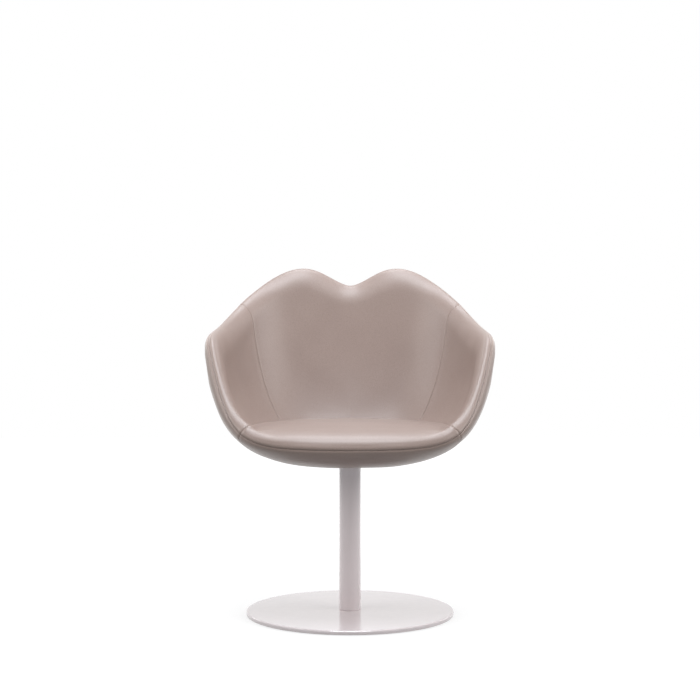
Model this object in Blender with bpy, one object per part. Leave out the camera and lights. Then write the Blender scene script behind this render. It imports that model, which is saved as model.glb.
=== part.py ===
"""Pedestal chair: an upholstered tub seat that turns on a steel column with a round floor plate.

Metres, +Z up. The origin is on the floor in the middle of the column, and the seat faces -Y.
"""
import math

import bmesh
import bpy
import numpy as np
from mathutils import Vector

# Tub, outside
TUB_WIDTH = 0.650
TUB_DEPTH = 0.580
TUB_RISE = 0.467
SEAT_RISE = 0.093
SEAT_EDGE_RISE = 0.086
SEAT_CENTRE_SETBACK = 0.040

# Upholstery layers, from the outside in
LEATHER_THICKNESS = 0.0014
WADDING_THICKNESS = 0.0018
SHELL_THICKNESS = 0.008
DUST_COVER_THICKNESS = 0.0012
RIM_RADIUS = 0.021
FRONT_WALL_DEPTH = 0.038
ARM_WALL_DEPTH = 0.029
BACK_WALL_DEPTH = 0.047
SEAM_GAP = 0.0006
SEAT_SIDE_EASE = 0.005
SHELL_EDGE_EASE = 0.0008
FOAM_LIP = 0.0015
FIT_GAP = 0.0003

# Floor plate and its glides
PLATE_DIAMETER = 0.480
PLATE_THICKNESS = 0.009
PLATE_EDGE_RADIUS = 0.0035
PLATE_LOWER_EDGE_RADIUS = 0.0012
GLIDE_DIAMETER = 0.028
GLIDE_HEIGHT = 0.0018
GLIDE_CHAMFER = 0.0006
GLIDE_STUB_DIAMETER = 0.008
GLIDE_STUB_LENGTH = 0.005
GLIDE_CIRCLE_RADIUS = 0.212
GLIDE_COUNT = 6

# Column and the parts in its foot
COLUMN_DIAMETER = 0.050
COLUMN_WALL = 0.0025
COLUMN_LENGTH = 0.3316
FOOT_PLUG_LENGTH = 0.026
BASE_SCREW_DIAMETER = 0.012
BASE_SCREW_LENGTH = 0.027
BASE_SCREW_HEAD_DIAMETER = 0.024
BASE_SCREW_HEAD_DEPTH = 0.006
BASE_SCREW_KEY_WIDTH = 0.008
BASE_SCREW_KEY_DEPTH = 0.004
PIN_DIAMETER = 0.006
PIN_LENGTH = 0.014
PIN_CIRCLE_RADIUS = 0.0145

# Swivel
SPINDLE_DIAMETER = 0.025
SPINDLE_LENGTH = 0.150
SPINDLE_SPIGOT_DIAMETER = 0.020
SPINDLE_CHAMFER = 0.0015
BUSH_LENGTH = 0.036
BUSH_FLANGE_THICKNESS = 0.0025
THRUST_WASHER_THICKNESS = 0.0015
THRUST_WASHER_DIAMETER = 0.046
SPINDLE_WASHER_THICKNESS = 0.002
SPINDLE_WASHER_DIAMETER = 0.038
RETAINING_RING_THICKNESS = 0.0012
RETAINING_RING_DIAMETER = 0.031
RETAINING_GROOVE_DEPTH = 0.0012

# Mounting plate and its fasteners
MOUNT_DIAMETER = 0.190
MOUNT_THICKNESS = 0.006
MOUNT_CHAMFER = 0.001
MOUNT_SCREW_CIRCLE_RADIUS = 0.070
MOUNT_SCREW_DIAMETER = 0.008
MOUNT_SCREW_LENGTH = 0.012
MOUNT_SCREW_HEAD_DIAMETER = 0.016
MOUNT_SCREW_HEAD_DEPTH = 0.0042
MOUNT_SCREW_KEY_WIDTH = 0.005
MOUNT_SCREW_KEY_DEPTH = 0.0025
MOUNT_SCREW_COUNT = 4
MOUNT_SCREW_START_TURN = 45.0
T_NUT_FLANGE_DIAMETER = 0.020
T_NUT_FLANGE_THICKNESS = 0.0014
T_NUT_WALL = 0.0012
T_NUT_LENGTH = 0.0075
CUT_OVERRUN = 0.002

# Control rings of the tub's outer face, as shares of half its width, half its depth and its rise.
# Each row goes from the front middle round the right arm to the back middle, and the left is its mirror.
RIM_SHARES = (
    (0.000, -0.986, 0.071), (0.365, -0.970, 0.071), (0.702, -0.860, 0.096), (0.888, -0.683, 0.248),
    (0.991, -0.431, 0.505), (1.022, -0.259, 0.598), (0.990, 0.224, 0.616), (0.862, 0.672, 0.747),
    (0.616, 0.935, 0.889), (0.311, 1.004, 0.993), (0.000, 1.004, 0.784))
WALL_SHARES = (
    (0.000, -0.845, -0.009), (0.323, -0.828, -0.004), (0.640, -0.672, 0.041), (0.895, -0.397, 0.141),
    (1.009, -0.207, 0.227), (1.034, -0.034, 0.248), (0.960, 0.310, 0.227), (0.751, 0.655, 0.238),
    (0.498, 0.828, 0.259), (0.246, 0.886, 0.281), (0.000, 0.897, 0.270))
BEND_SHARES = (
    (0.000, -0.638, 0.000), (0.231, -0.621, 0.000), (0.425, -0.500, 0.000), (0.569, -0.310, 0.000),
    (0.637, -0.155, 0.000), (0.652, 0.000, 0.000), (0.600, 0.241, 0.000), (0.477, 0.466, 0.000),
    (0.323, 0.603, 0.000), (0.160, 0.666, 0.000), (0.000, 0.683, 0.000))
FLOOR_SHARES = (
    (0.000, -0.414, 0.000), (0.154, -0.379, 0.000), (0.262, -0.276, 0.000), (0.323, -0.172, 0.000),
    (0.354, -0.086, 0.000), (0.363, 0.000, 0.000), (0.345, 0.103, 0.000), (0.292, 0.241, 0.000),
    (0.200, 0.345, 0.000), (0.108, 0.397, 0.000), (0.000, 0.414, 0.000))

# Stations count control points round the tub: 0 at the front middle, 10 at the back middle, 20 at 0 again.
STATION_COUNT = 20
FRONT_SEAM_STATION = 2.2
ARM_TIP_STATION = 3.5
BACK_SEAM_STATION = 7.0
FRONT_CELLS = 8
ARM_CELLS = 8
ARM_CELL_POWER = 1.3
BACK_CELLS = 18

# Rows up the outer face, from the floor ring to the rim's edge, as shares of the way.
RISE_SHARES = (0.0, 0.14, 0.28, 0.44, 0.60, 0.76, 0.90, 1.0)
DUST_COVER_RISE_SHARES = RISE_SHARES[:2]
SEAT_BASE_RISE_SHARES = RISE_SHARES[:3]
COVER_RISE_SHARES = RISE_SHARES[1:]
FOAM_RISE_SHARES = RISE_SHARES[2:]

# Turn round the rim in degrees: 0 at its outer edge, 180 inside, and on past 180 down the inner face.
# The roll eases into the inner face from its crown down. The seam round the rim has a turn of its own
# at each of some stations, counted from the front middle to the back middle.
RIM_SEAM_STATIONS = (0.0, 1.2, 2.2, 3.0, 4.5, 10.0)
RIM_SEAM_TURNS = (40.0, 44.0, 53.0, 62.0, 55.0, 55.0)
FRONT_ROLL_TURN = 112.0
SHOULDER_LENGTH = 0.050
ELLIPSE_SHARE = 0.5523
RIM_INNER_TURN = 180.0
LOWEST_TURN = 370.0
RIM_SEAM_ROWS = 2
PANEL_SHARES = (0.17, 0.30, 0.43, 0.58, 0.77, 1.0)
TURN_STEP = 2.0
TANGENT_TURN = 0.2
INNER_SWELL_SHARE = 0.55

# Rows of the seat's dome, as shares of the way from its middle to its edge, and how flat its top is.
DOME_SHARES = (0.35, 0.62, 0.78, 0.88, 0.95, 1.0)
FRONT_DOME_POWER = 5.0
BACK_DOME_POWER = 4.0
SEAT_BASE_SHARES = (0.14, 0.29, 0.43, 0.57, 0.71, 0.86)
TANGENT_STEP_SHARE = 0.001

# Facets of the turned parts
PLATE_SEGMENTS = 64
TURNED_SEGMENTS = 24
SCREW_SEGMENTS = 12
EDGE_ARC_STEPS = 3
RING_OPENING_TURN = 50.0
LAYER_SHARP_TURN = 40.0
TURNED_SHARP_TURN = 30.0

# Heights and depths that follow from the sizes above
PLATE_BOTTOM = GLIDE_HEIGHT + FIT_GAP
PLATE_TOP = PLATE_BOTTOM + PLATE_THICKNESS
COLUMN_BOTTOM = PLATE_TOP + FIT_GAP
COLUMN_TOP = COLUMN_BOTTOM + COLUMN_LENGTH
COLUMN_BORE_RADIUS = COLUMN_DIAMETER / 2 - COLUMN_WALL
BUSH_TOP = COLUMN_TOP + FIT_GAP + BUSH_FLANGE_THICKNESS
LOWER_WASHER_BOTTOM = BUSH_TOP + FIT_GAP
SLIP_WASHER_BOTTOM = LOWER_WASHER_BOTTOM + THRUST_WASHER_THICKNESS + FIT_GAP
UPPER_WASHER_BOTTOM = SLIP_WASHER_BOTTOM + THRUST_WASHER_THICKNESS + FIT_GAP
MOUNT_BOTTOM = UPPER_WASHER_BOTTOM + THRUST_WASHER_THICKNESS + FIT_GAP
MOUNT_TOP = MOUNT_BOTTOM + MOUNT_THICKNESS
SPINDLE_BORE_RADIUS = SPINDLE_DIAMETER / 2 + FIT_GAP
SPINDLE_BOTTOM = MOUNT_BOTTOM - FIT_GAP - SPINDLE_LENGTH

WADDING_DEPTH = LEATHER_THICKNESS + FIT_GAP
FOAM_DEPTH = LEATHER_THICKNESS + 2 * FIT_GAP
SHELL_DEPTH = WADDING_DEPTH + WADDING_THICKNESS + FIT_GAP
SHELL_INNER_DEPTH = SHELL_DEPTH + SHELL_THICKNESS
FOAM_BACK_DEPTH = SHELL_INNER_DEPTH + 2 * FIT_GAP
SHELL_FLOOR_BOTTOM = MOUNT_TOP + FIT_GAP
SHELL_FLOOR_TOP = SHELL_FLOOR_BOTTOM + SHELL_THICKNESS
TUB_UNDERSIDE_HEIGHT = SHELL_FLOOR_BOTTOM - SHELL_DEPTH
SEAT_HEIGHT = TUB_UNDERSIDE_HEIGHT + SEAT_RISE
SEAT_EDGE_HEIGHT = TUB_UNDERSIDE_HEIGHT + SEAT_EDGE_RISE


def material(name, colour, roughness, metallic=0.0):
    finish = bpy.data.materials.new(name)
    finish.use_nodes = True
    finish.diffuse_color = (*colour, 1.0)
    shader = finish.node_tree.nodes["Principled BSDF"]
    shader.inputs["Base Color"].default_value = (*colour, 1.0)
    shader.inputs["Roughness"].default_value = roughness
    shader.inputs["Metallic"].default_value = metallic
    return finish


def make_materials():
    return {
        "leather": material("leather", (0.42, 0.33, 0.29), 0.50),
        "foam": material("foam", (0.80, 0.72, 0.45), 0.95),
        "wadding": material("wadding", (0.85, 0.85, 0.82), 0.95),
        "shell": material("glass_fibre", (0.24, 0.22, 0.18), 0.60),
        "dust_cover": material("dust_cover", (0.03, 0.03, 0.03), 0.90),
        "painted_steel": material("painted_steel", (0.62, 0.58, 0.57), 0.35),
        "bare_steel": material("bare_steel", (0.55, 0.55, 0.56), 0.30, 1.0),
        "nylon": material("nylon", (0.05, 0.05, 0.05), 0.50),
        "acetal": material("acetal", (0.85, 0.85, 0.83), 0.40),
    }


# The tub's outer face: a Bezier curve at each station through four closed rings.

def ring_points(shares, stations):
    """Uniform cubic B-spline through a closed ring of control points, at the given stations."""
    half = np.array(shares) * (TUB_WIDTH / 2, TUB_DEPTH / 2, TUB_RISE)
    mirrored = half[1:-1][::-1] * (-1, 1, 1)
    ring = np.vstack([half, mirrored]) + (0, 0, TUB_UNDERSIDE_HEIGHT)
    before = np.floor(stations).astype(int)
    part = (stations - before)[:, None]
    weights = (
        (1 - part) ** 3 / 6,
        (3 * part**3 - 6 * part**2 + 4) / 6,
        (-3 * part**3 + 3 * part**2 + 3 * part + 1) / 6,
        part**3 / 6)
    return sum(
        weight * ring[(before + offset - 1) % STATION_COUNT] for offset, weight in enumerate(weights))


def four_rings(stations):
    rings = (FLOOR_SHARES, BEND_SHARES, WALL_SHARES, RIM_SHARES)
    return [ring_points(shares, stations)[:, None] for shares in rings]


def outer_face(stations, rises):
    """Points on the outer face: one row of rises for each station."""
    floor, bend, wall, rim = four_rings(stations)
    rise = rises[..., None]
    fall = 1 - rise
    return fall**3 * floor + 3 * fall**2 * rise * bend + 3 * fall * rise**2 * wall + rise**3 * rim


def unit(vectors):
    return vectors / np.linalg.norm(vectors, axis=-1, keepdims=True)


def along_tub(stations, rises):
    step = TANGENT_STEP_SHARE
    return unit(outer_face(stations + step, rises) - outer_face(stations - step, rises))


def outward(stations, rises):
    """Unit normals of the outer face."""
    floor, bend, wall, rim = four_rings(stations)
    rise = rises[..., None]
    fall = 1 - rise
    upward = fall**2 * (bend - floor) + 2 * fall * rise * (wall - bend) + rise**2 * (rim - wall)
    return unit(np.cross(along_tub(stations, rises), upward))


def outer_layer(stations, rises, depth):
    """The outer face moved in by a depth."""
    rises = np.broadcast_to(rises, (len(stations), np.shape(rises)[-1]))
    return outer_face(stations, rises) - depth * outward(stations, rises)


def from_front_middle(stations):
    """Stations from the front middle, the same on both sides."""
    return np.abs((stations + STATION_COUNT / 2) % STATION_COUNT - STATION_COUNT / 2)


def upholstery_depth(stations, rises):
    """Thickness of the padded wall: the rim's two radii at the top, and the wall's own depth lower down."""
    share = np.clip((1 - rises) / INNER_SWELL_SHARE, 0, 1)
    swell = share * share * (3 - 2 * share)
    wall = np.interp(
        from_front_middle(stations), (0, ARM_TIP_STATION, BACK_SEAM_STATION, STATION_COUNT / 2),
        (FRONT_WALL_DEPTH, ARM_WALL_DEPTH, ARM_WALL_DEPTH, BACK_WALL_DEPTH))
    return 2 * RIM_RADIUS + (wall[:, None] - 2 * RIM_RADIUS) * swell


def rounded_corner(start, start_way, end, end_way, share):
    """Point of a curve like a quarter of an ellipse, between two points with their directions."""
    gap = end - start
    across = np.sum(start_way * end_way, axis=-1, keepdims=True)
    along_start = np.sum(start_way * gap, axis=-1, keepdims=True)
    along_end = np.sum(end_way * gap, axis=-1, keepdims=True)
    scale = 1 - across**2
    first = start + ELLIPSE_SHARE * (along_start - across * along_end) / scale * start_way
    second = end - ELLIPSE_SHARE * (along_end - across * along_start) / scale * end_way
    rest = 1 - share
    return rest**3 * start + 3 * rest**2 * share * first + 3 * rest * share**2 * second + share**3 * end


def inner_turns(stations, distance):
    """Turns at a distance below the rim on the inner face, one row of one for each station."""
    wall, rim = four_rings(stations)[2:]
    share = distance / (3 * np.linalg.norm(rim - wall, axis=-1)) / (1 - FOAM_RISE_SHARES[0])
    return RIM_INNER_TURN + share * (LOWEST_TURN - RIM_INNER_TURN)


def rim_frame(stations):
    """The middle of the rim's roll at each station, with its outward and upward directions."""
    top = np.ones((len(stations), 1))
    out = outward(stations, top)
    up = unit(np.cross(out, along_tub(stations, top)))
    return outer_face(stations, top) - RIM_RADIUS * out, out, up


def crown_turns(stations):
    """Turn at which the roll is highest, one row of one for each station."""
    out, up = rim_frame(stations)[1:]
    return np.degrees(np.arctan2(up[..., 2], out[..., 2]))


def skin(stations, turns, depth):
    """Points of the rim and the inner face, moved into the upholstery by a depth.

    turns has one row for each station: degrees round the rim, then on down the inner face. The skin
    is a round roll up to its crown, and eases from there into the inner face.
    """
    turns = np.broadcast_to(turns, (len(stations), np.shape(turns)[-1]))
    depth = np.broadcast_to(depth, turns.shape)
    starts = np.broadcast_to(crown_turns(stations), turns.shape)
    ends = np.broadcast_to(inner_turns(stations, SHOULDER_LENGTH), turns.shape)
    start = plain_skin(stations, starts, depth)
    start_way = unit(start - plain_skin(stations, starts - TANGENT_TURN, depth))
    end = plain_skin(stations, ends, depth)
    end_way = unit(plain_skin(stations, ends + TANGENT_TURN, depth) - end)
    share = np.clip((turns - starts) / (ends - starts), 0, 1)[..., None]
    on_shoulder = (turns > starts) & (turns < ends)
    return np.where(
        on_shoulder[..., None], rounded_corner(start, start_way, end, end_way, share),
        plain_skin(stations, turns, depth))


def plain_skin(stations, turns, depth):
    """The skin with a round roll all over the rim."""
    depth = depth[..., None]
    centre, out, up = rim_frame(stations)
    angle = np.radians(np.minimum(turns, RIM_INNER_TURN))[..., None]
    rim = centre + (RIM_RADIUS - depth) * (np.cos(angle) * out + np.sin(angle) * up)
    share = np.clip((turns - RIM_INNER_TURN) / (LOWEST_TURN - RIM_INNER_TURN), 0, 1)
    rises = 1 - (1 - FOAM_RISE_SHARES[0]) * share
    wall_depth = upholstery_depth(stations, rises)[..., None] - depth
    inner = outer_face(stations, rises) - wall_depth * outward(stations, rises)
    return np.where((turns > RIM_INNER_TURN)[..., None], inner, rim)


def below_rim(points, stations):
    """Drops the last row of a layer's points below the rim foam that covers them."""
    up = rim_frame(stations)[2]
    points[:, -1:] -= SHELL_EDGE_EASE * up
    return points


def rim_seam_turns(stations):
    return np.interp(from_front_middle(stations), RIM_SEAM_STATIONS, RIM_SEAM_TURNS)


def seat_edge_turns(stations):
    """Turn at which each station's skin meets the seat: on the front roll, or down the inner face."""
    turns = np.arange(0.0, LOWEST_TURN, TURN_STEP)
    heights = skin(stations, turns, 0.0)[..., 2]
    on_roll = np.interp(
        from_front_middle(stations), (FRONT_SEAM_STATION / 2, FRONT_SEAM_STATION),
        (FRONT_ROLL_TURN, RIM_INNER_TURN))
    result = []
    for row, least in zip(heights, on_roll):
        crown = int(np.argmax(row))
        below = np.nonzero(row[crown:] <= SEAT_EDGE_HEIGHT)[0]
        first = crown + int(below[0])
        if first == crown:
            result.append(least)
            continue
        share = (row[first - 1] - SEAT_EDGE_HEIGHT) / (row[first - 1] - row[first])
        result.append(max(least, turns[first - 1] + TURN_STEP * share))
    return np.array(result)


def turn_below(stations, turns, distance):
    """Turns moved down the skin by a distance."""
    here = skin(stations, turns[:, None], 0.0)
    there = skin(stations, turns[:, None] + TURN_STEP, 0.0)
    speed = np.linalg.norm(there - here, axis=-1)[:, 0] / TURN_STEP
    return turns + distance / speed


def rows_between(starts, ends, count):
    """Evenly spaced turns from starts to ends, without the starts."""
    shares = np.arange(1, count + 1) / count
    return starts[:, None] + (ends - starts)[:, None] * shares


def panel_turns(seam, edge):
    """Turns from the rim seam to the seat's edge, close together on the roll and its shoulder."""
    return seam[:, None] + (edge - seam)[:, None] * np.array((0.0, *PANEL_SHARES))


def seat_side_turns(stations):
    """Three rows down the seat foam's side: under the seat's edge, half way and lowest."""
    edge = seat_edge_turns(stations)
    start = np.maximum(turn_below(stations, edge, SEAT_SIDE_EASE), RIM_INNER_TURN)
    lowest = np.full(len(stations), LOWEST_TURN)
    return np.hstack([start[:, None], rows_between(start, lowest, 2)])


def foam_turns(stations):
    edge = seat_edge_turns(stations)
    seam = rim_seam_turns(stations)
    start = np.zeros(len(stations))
    return np.hstack([
        start[:, None], rows_between(start, seam, RIM_SEAM_ROWS), panel_turns(seam, edge)[:, 1:],
        seat_side_turns(stations)])


def front_stations():
    return np.linspace(-FRONT_SEAM_STATION, FRONT_SEAM_STATION, FRONT_CELLS + 1)


def right_arm_stations():
    shares = np.linspace(0, 1, ARM_CELLS + 1) ** ARM_CELL_POWER
    return FRONT_SEAM_STATION + (BACK_SEAM_STATION - FRONT_SEAM_STATION) * shares


def back_stations():
    return np.linspace(BACK_SEAM_STATION, STATION_COUNT - BACK_SEAM_STATION, BACK_CELLS + 1)


def left_arm_stations():
    return STATION_COUNT - right_arm_stations()[::-1]


def side_and_back_stations():
    return np.concatenate([right_arm_stations(), back_stations()[1:], left_arm_stations()[1:]])


def ring_stations():
    return np.concatenate([front_stations()[:-1], side_and_back_stations()[:-1]])


def eased(points, amount=SEAM_GAP / 2):
    """Draws both end loops of a panel in, so that neighbouring panels keep the seam's gap."""
    points = points.copy()
    points[0] += amount * unit(points[1] - points[0])
    points[-1] += amount * unit(points[-2] - points[-1])
    return points


def shortened(points, amount=2 * FIT_GAP):
    """Draws the last row of a panel back towards the row before it."""
    points = points.copy()
    points[:, -1] += amount * unit(points[:, -2] - points[:, -1])
    return points


# Mesh helpers

def link_solid(name, mesh, finish, parent):
    body = bpy.data.objects.new(name, mesh)
    bpy.context.scene.collection.objects.link(body)
    mesh.materials.append(finish)
    body.parent = parent
    return body


def finish_mesh(name, bm, sharp_degrees):
    bmesh.ops.recalc_face_normals(bm, faces=bm.faces)
    mesh = bpy.data.meshes.new(name)
    bm.to_mesh(mesh)
    bm.free()
    mesh.shade_smooth()
    mesh.set_sharp_from_angle(angle=math.radians(sharp_degrees))
    return mesh


def layer_solid(name, front, back, finish, parent, wrap=False, pole=False, keep=None, runs_down=None):
    """A closed solid between two grids of points, stations by rows, with all its free edges walled.

    wrap joins the last station to the first, pole says that the first row is one point, and keep
    chooses cells by station and row. Each cell is split by one diagonal, and by the other one where
    runs_down is true of its side and row, so that it lies along a neighbour whose rows run the other way.
    """
    stations, rows = front.shape[:2]
    bm = bmesh.new()
    corners = {}

    def corner(side, station, row):
        station %= stations
        if pole and row == 0:
            station = 0
        key = (side, station, row)
        if key not in corners:
            grid = back if side else front
            corners[key] = bm.verts.new(grid[station, row])
        return corners[key]

    def add_face(keys):
        verts = list(dict.fromkeys(corner(*key) for key in keys))
        if len(verts) > 2:
            bm.faces.new(verts)

    columns = stations if wrap else stations - 1
    cells = [(station, row) for station in range(columns) for row in range(rows - 1)
             if keep is None or keep(station, row)]
    edge_uses = {}
    for station, row in cells:
        around = ((station, row), (station + 1, row), (station + 1, row + 1), (station, row + 1))
        for first, second in zip(around, around[1:] + around[:1]):
            ends = frozenset(corner(0, *place) for place in (first, second))
            if len(ends) == 2:
                edge_uses.setdefault(ends, []).append((first, second))
        for side in (0, 1):
            a, b, c, d = ((side, *place) for place in around)
            if runs_down and runs_down(side, row):
                a, b, c, d = b, c, d, a
            add_face((a, b, c))
            add_face((a, c, d))
    for uses in edge_uses.values():
        if len(uses) == 1:
            first, second = sorted(uses[0])
            add_face(((0, *first), (0, *second), (1, *second)))
            add_face(((0, *first), (1, *second), (1, *first)))
    return link_solid(name, finish_mesh(name, bm, LAYER_SHARP_TURN), finish, parent)


def turned_solid(name, outline, finish, parent, segments=TURNED_SEGMENTS, turn=math.tau, closed=True):
    """Turns an outline of radius and height about the Z axis. closed joins its last point to its first."""
    bm = bmesh.new()
    verts = [bm.verts.new((radius, 0, height)) for radius, height in outline]
    edges = [bm.edges.new(pair) for pair in zip(verts, verts[1:])]
    if closed:
        edges.append(bm.edges.new((verts[-1], verts[0])))
    whole = turn == math.tau
    bmesh.ops.spin(bm, geom=verts + edges, cent=(0, 0, 0), axis=(0, 0, 1), angle=turn, steps=segments,
                   use_merge=whole)
    if not whole:
        bmesh.ops.holes_fill(bm, edges=bm.edges)
    bmesh.ops.remove_doubles(bm, verts=bm.verts, dist=FIT_GAP / 100)
    return link_solid(name, finish_mesh(name, bm, TURNED_SHARP_TURN), finish, parent)


def arc_outline(centre_radius, centre_height, size, start_degrees, end_degrees, steps=EDGE_ARC_STEPS):
    turns = [start_degrees + (end_degrees - start_degrees) * k / steps for k in range(steps + 1)]
    directions = [(math.cos(math.radians(turn)), math.sin(math.radians(turn))) for turn in turns]
    return [(centre_radius + size * across, centre_height + size * up) for across, up in directions]


def cylinder_outline(radius, bottom, top):
    return [(0, bottom), (radius, bottom), (radius, top), (0, top)]


def ring_outline(inner, outer, bottom, top):
    return [(inner, bottom), (outer, bottom), (outer, top), (inner, top)]


def hexagon_cutter(name, width, bottom, top):
    bm = bmesh.new()
    radius = width / math.sqrt(3)
    places = [(place.x, place.y, bottom) for place in copies_round_axis(6, radius)]
    base = bm.faces.new([bm.verts.new(place) for place in places])
    raised = bmesh.ops.extrude_face_region(bm, geom=[base])
    top_verts = [item for item in raised["geom"] if isinstance(item, bmesh.types.BMVert)]
    bmesh.ops.translate(bm, vec=(0, 0, top - bottom), verts=top_verts)
    return as_cutter(link_solid(name, finish_mesh(name, bm, TURNED_SHARP_TURN), None, None))


def as_cutter(body):
    body.hide_render = True
    body.display_type = "WIRE"
    return body


def cut(body, cutter):
    modifier = body.modifiers.new("cut_" + cutter.name, "BOOLEAN")
    modifier.operation = "DIFFERENCE"
    modifier.object = cutter
    modifier.solver = "EXACT"


def copies_round_axis(count, radius, start_degrees=0.0):
    turns = [math.radians(start_degrees) + math.tau * k / count for k in range(count)]
    return [Vector((radius * math.cos(turn), radius * math.sin(turn), 0)) for turn in turns]


# Base: floor plate, glides and column

def make_base_plate(finish, parent):
    radius = PLATE_DIAMETER / 2
    screw_radius = BASE_SCREW_DIAMETER / 2 + FIT_GAP
    sink_radius = BASE_SCREW_HEAD_DIAMETER / 2 + FIT_GAP
    outline = [(screw_radius, PLATE_BOTTOM + BASE_SCREW_HEAD_DEPTH), (sink_radius, PLATE_BOTTOM)]
    outline += arc_outline(radius - PLATE_LOWER_EDGE_RADIUS, PLATE_BOTTOM + PLATE_LOWER_EDGE_RADIUS,
                           PLATE_LOWER_EDGE_RADIUS, -90, 0, 2)
    outline += arc_outline(
        radius - PLATE_EDGE_RADIUS, PLATE_TOP - PLATE_EDGE_RADIUS, PLATE_EDGE_RADIUS, 0, 90)
    outline += [(screw_radius, PLATE_TOP)]
    plate = turned_solid("base_disc", outline, finish, parent, PLATE_SEGMENTS)
    stub_radius = GLIDE_STUB_DIAMETER / 2 + FIT_GAP
    stub_hole_top = PLATE_BOTTOM + GLIDE_STUB_LENGTH
    for number, place in enumerate(copies_round_axis(GLIDE_COUNT, GLIDE_CIRCLE_RADIUS), 1):
        hole_outline = cylinder_outline(stub_radius, -CUT_OVERRUN, stub_hole_top)
        hole = turned_solid(
            f"glide_hole_{number}", hole_outline, None, None, SCREW_SEGMENTS, closed=False)
        hole.location = place
        cut(plate, as_cutter(hole))
    pin_hole = turned_solid("plate_pin_hole", cylinder_outline(
        PIN_DIAMETER / 2 + FIT_GAP, PLATE_TOP - PIN_LENGTH / 2 + FIT_GAP, PLATE_TOP + CUT_OVERRUN),
        None, None, SCREW_SEGMENTS, closed=False)
    pin_hole.location = (0, PIN_CIRCLE_RADIUS, 0)
    cut(plate, as_cutter(pin_hole))
    return plate


def make_glides(finish, parent):
    radius = GLIDE_DIAMETER / 2
    stub_radius = GLIDE_STUB_DIAMETER / 2
    stub_top = GLIDE_HEIGHT + GLIDE_STUB_LENGTH
    outline = [
        (0, 0), (radius - GLIDE_CHAMFER, 0), (radius, GLIDE_CHAMFER), (radius, GLIDE_HEIGHT),
        (stub_radius, GLIDE_HEIGHT), (stub_radius, stub_top - GLIDE_CHAMFER),
        (stub_radius - GLIDE_CHAMFER, stub_top), (0, stub_top)]
    for number, place in enumerate(copies_round_axis(GLIDE_COUNT, GLIDE_CIRCLE_RADIUS), 1):
        glide = turned_solid(f"floor_glide_{number}", outline, finish, parent, SCREW_SEGMENTS, closed=False)
        glide.location = place


def make_column(finish, parent):
    outline = ring_outline(COLUMN_BORE_RADIUS, COLUMN_DIAMETER / 2, COLUMN_BOTTOM, COLUMN_TOP)
    turned_solid("column_tube", outline, finish, parent, TURNED_SEGMENTS + SCREW_SEGMENTS)


def make_foot_parts(steel, parent):
    bore = BASE_SCREW_DIAMETER / 2 + FIT_GAP
    plug_radius = COLUMN_BORE_RADIUS - FIT_GAP
    plug_top = COLUMN_BOTTOM + FOOT_PLUG_LENGTH
    plug = turned_solid("foot_plug", [
        (bore, COLUMN_BOTTOM), (plug_radius, COLUMN_BOTTOM), (plug_radius, plug_top - SPINDLE_CHAMFER),
        (plug_radius - SPINDLE_CHAMFER, plug_top), (bore, plug_top)], steel, parent)
    pin_top = PLATE_TOP + PIN_LENGTH / 2
    pin_hole = turned_solid("plug_pin_hole", cylinder_outline(
        PIN_DIAMETER / 2 + FIT_GAP, COLUMN_BOTTOM - CUT_OVERRUN, pin_top + FIT_GAP),
        None, None, SCREW_SEGMENTS, closed=False)
    pin_hole.location = (0, PIN_CIRCLE_RADIUS, 0)
    cut(plug, as_cutter(pin_hole))
    pin_bottom = PLATE_TOP - PIN_LENGTH / 2 + 2 * FIT_GAP
    pin = turned_solid("locating_pin", cylinder_outline(PIN_DIAMETER / 2, pin_bottom, pin_top),
                       steel, parent, SCREW_SEGMENTS, closed=False)
    pin.location = (0, PIN_CIRCLE_RADIUS, 0)
    shank_radius = BASE_SCREW_DIAMETER / 2
    head_bottom = PLATE_BOTTOM + FIT_GAP
    screw_top = head_bottom + BASE_SCREW_LENGTH
    screw = turned_solid("base_screw", [
        (0, head_bottom), (BASE_SCREW_HEAD_DIAMETER / 2 - FIT_GAP, head_bottom),
        (shank_radius, PLATE_BOTTOM + BASE_SCREW_HEAD_DEPTH), (shank_radius, screw_top - SPINDLE_CHAMFER),
        (shank_radius - SPINDLE_CHAMFER, screw_top), (0, screw_top)],
        steel, parent, SCREW_SEGMENTS, closed=False)
    cut(screw, hexagon_cutter("base_screw_key", BASE_SCREW_KEY_WIDTH, head_bottom - CUT_OVERRUN,
                              head_bottom + BASE_SCREW_KEY_DEPTH))


# Swivel: bushes and washers on the base, spindle and plate on the seat

def make_bushes(finish, parent):
    outer = COLUMN_BORE_RADIUS - FIT_GAP
    flange = COLUMN_DIAMETER / 2
    flange_bottom = COLUMN_TOP + FIT_GAP
    barrel_bottom = BUSH_TOP - BUSH_LENGTH
    turned_solid("upper_bush", [
        (SPINDLE_BORE_RADIUS, barrel_bottom), (outer, barrel_bottom), (outer, flange_bottom),
        (flange, flange_bottom), (flange, BUSH_TOP), (SPINDLE_BORE_RADIUS, BUSH_TOP)],
        finish, parent)
    bottom = lower_bush_bottom()
    outline = ring_outline(SPINDLE_BORE_RADIUS, outer, bottom, bottom + BUSH_LENGTH)
    turned_solid("lower_bush", outline, finish, parent)


def groove_bottom():
    return SPINDLE_BOTTOM + 2 * SPINDLE_CHAMFER


def retaining_ring_bottom():
    return groove_bottom() + FIT_GAP


def spindle_washer_bottom():
    return retaining_ring_bottom() + RETAINING_RING_THICKNESS + FIT_GAP


def lower_bush_bottom():
    return spindle_washer_bottom() + SPINDLE_WASHER_THICKNESS + FIT_GAP


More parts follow.
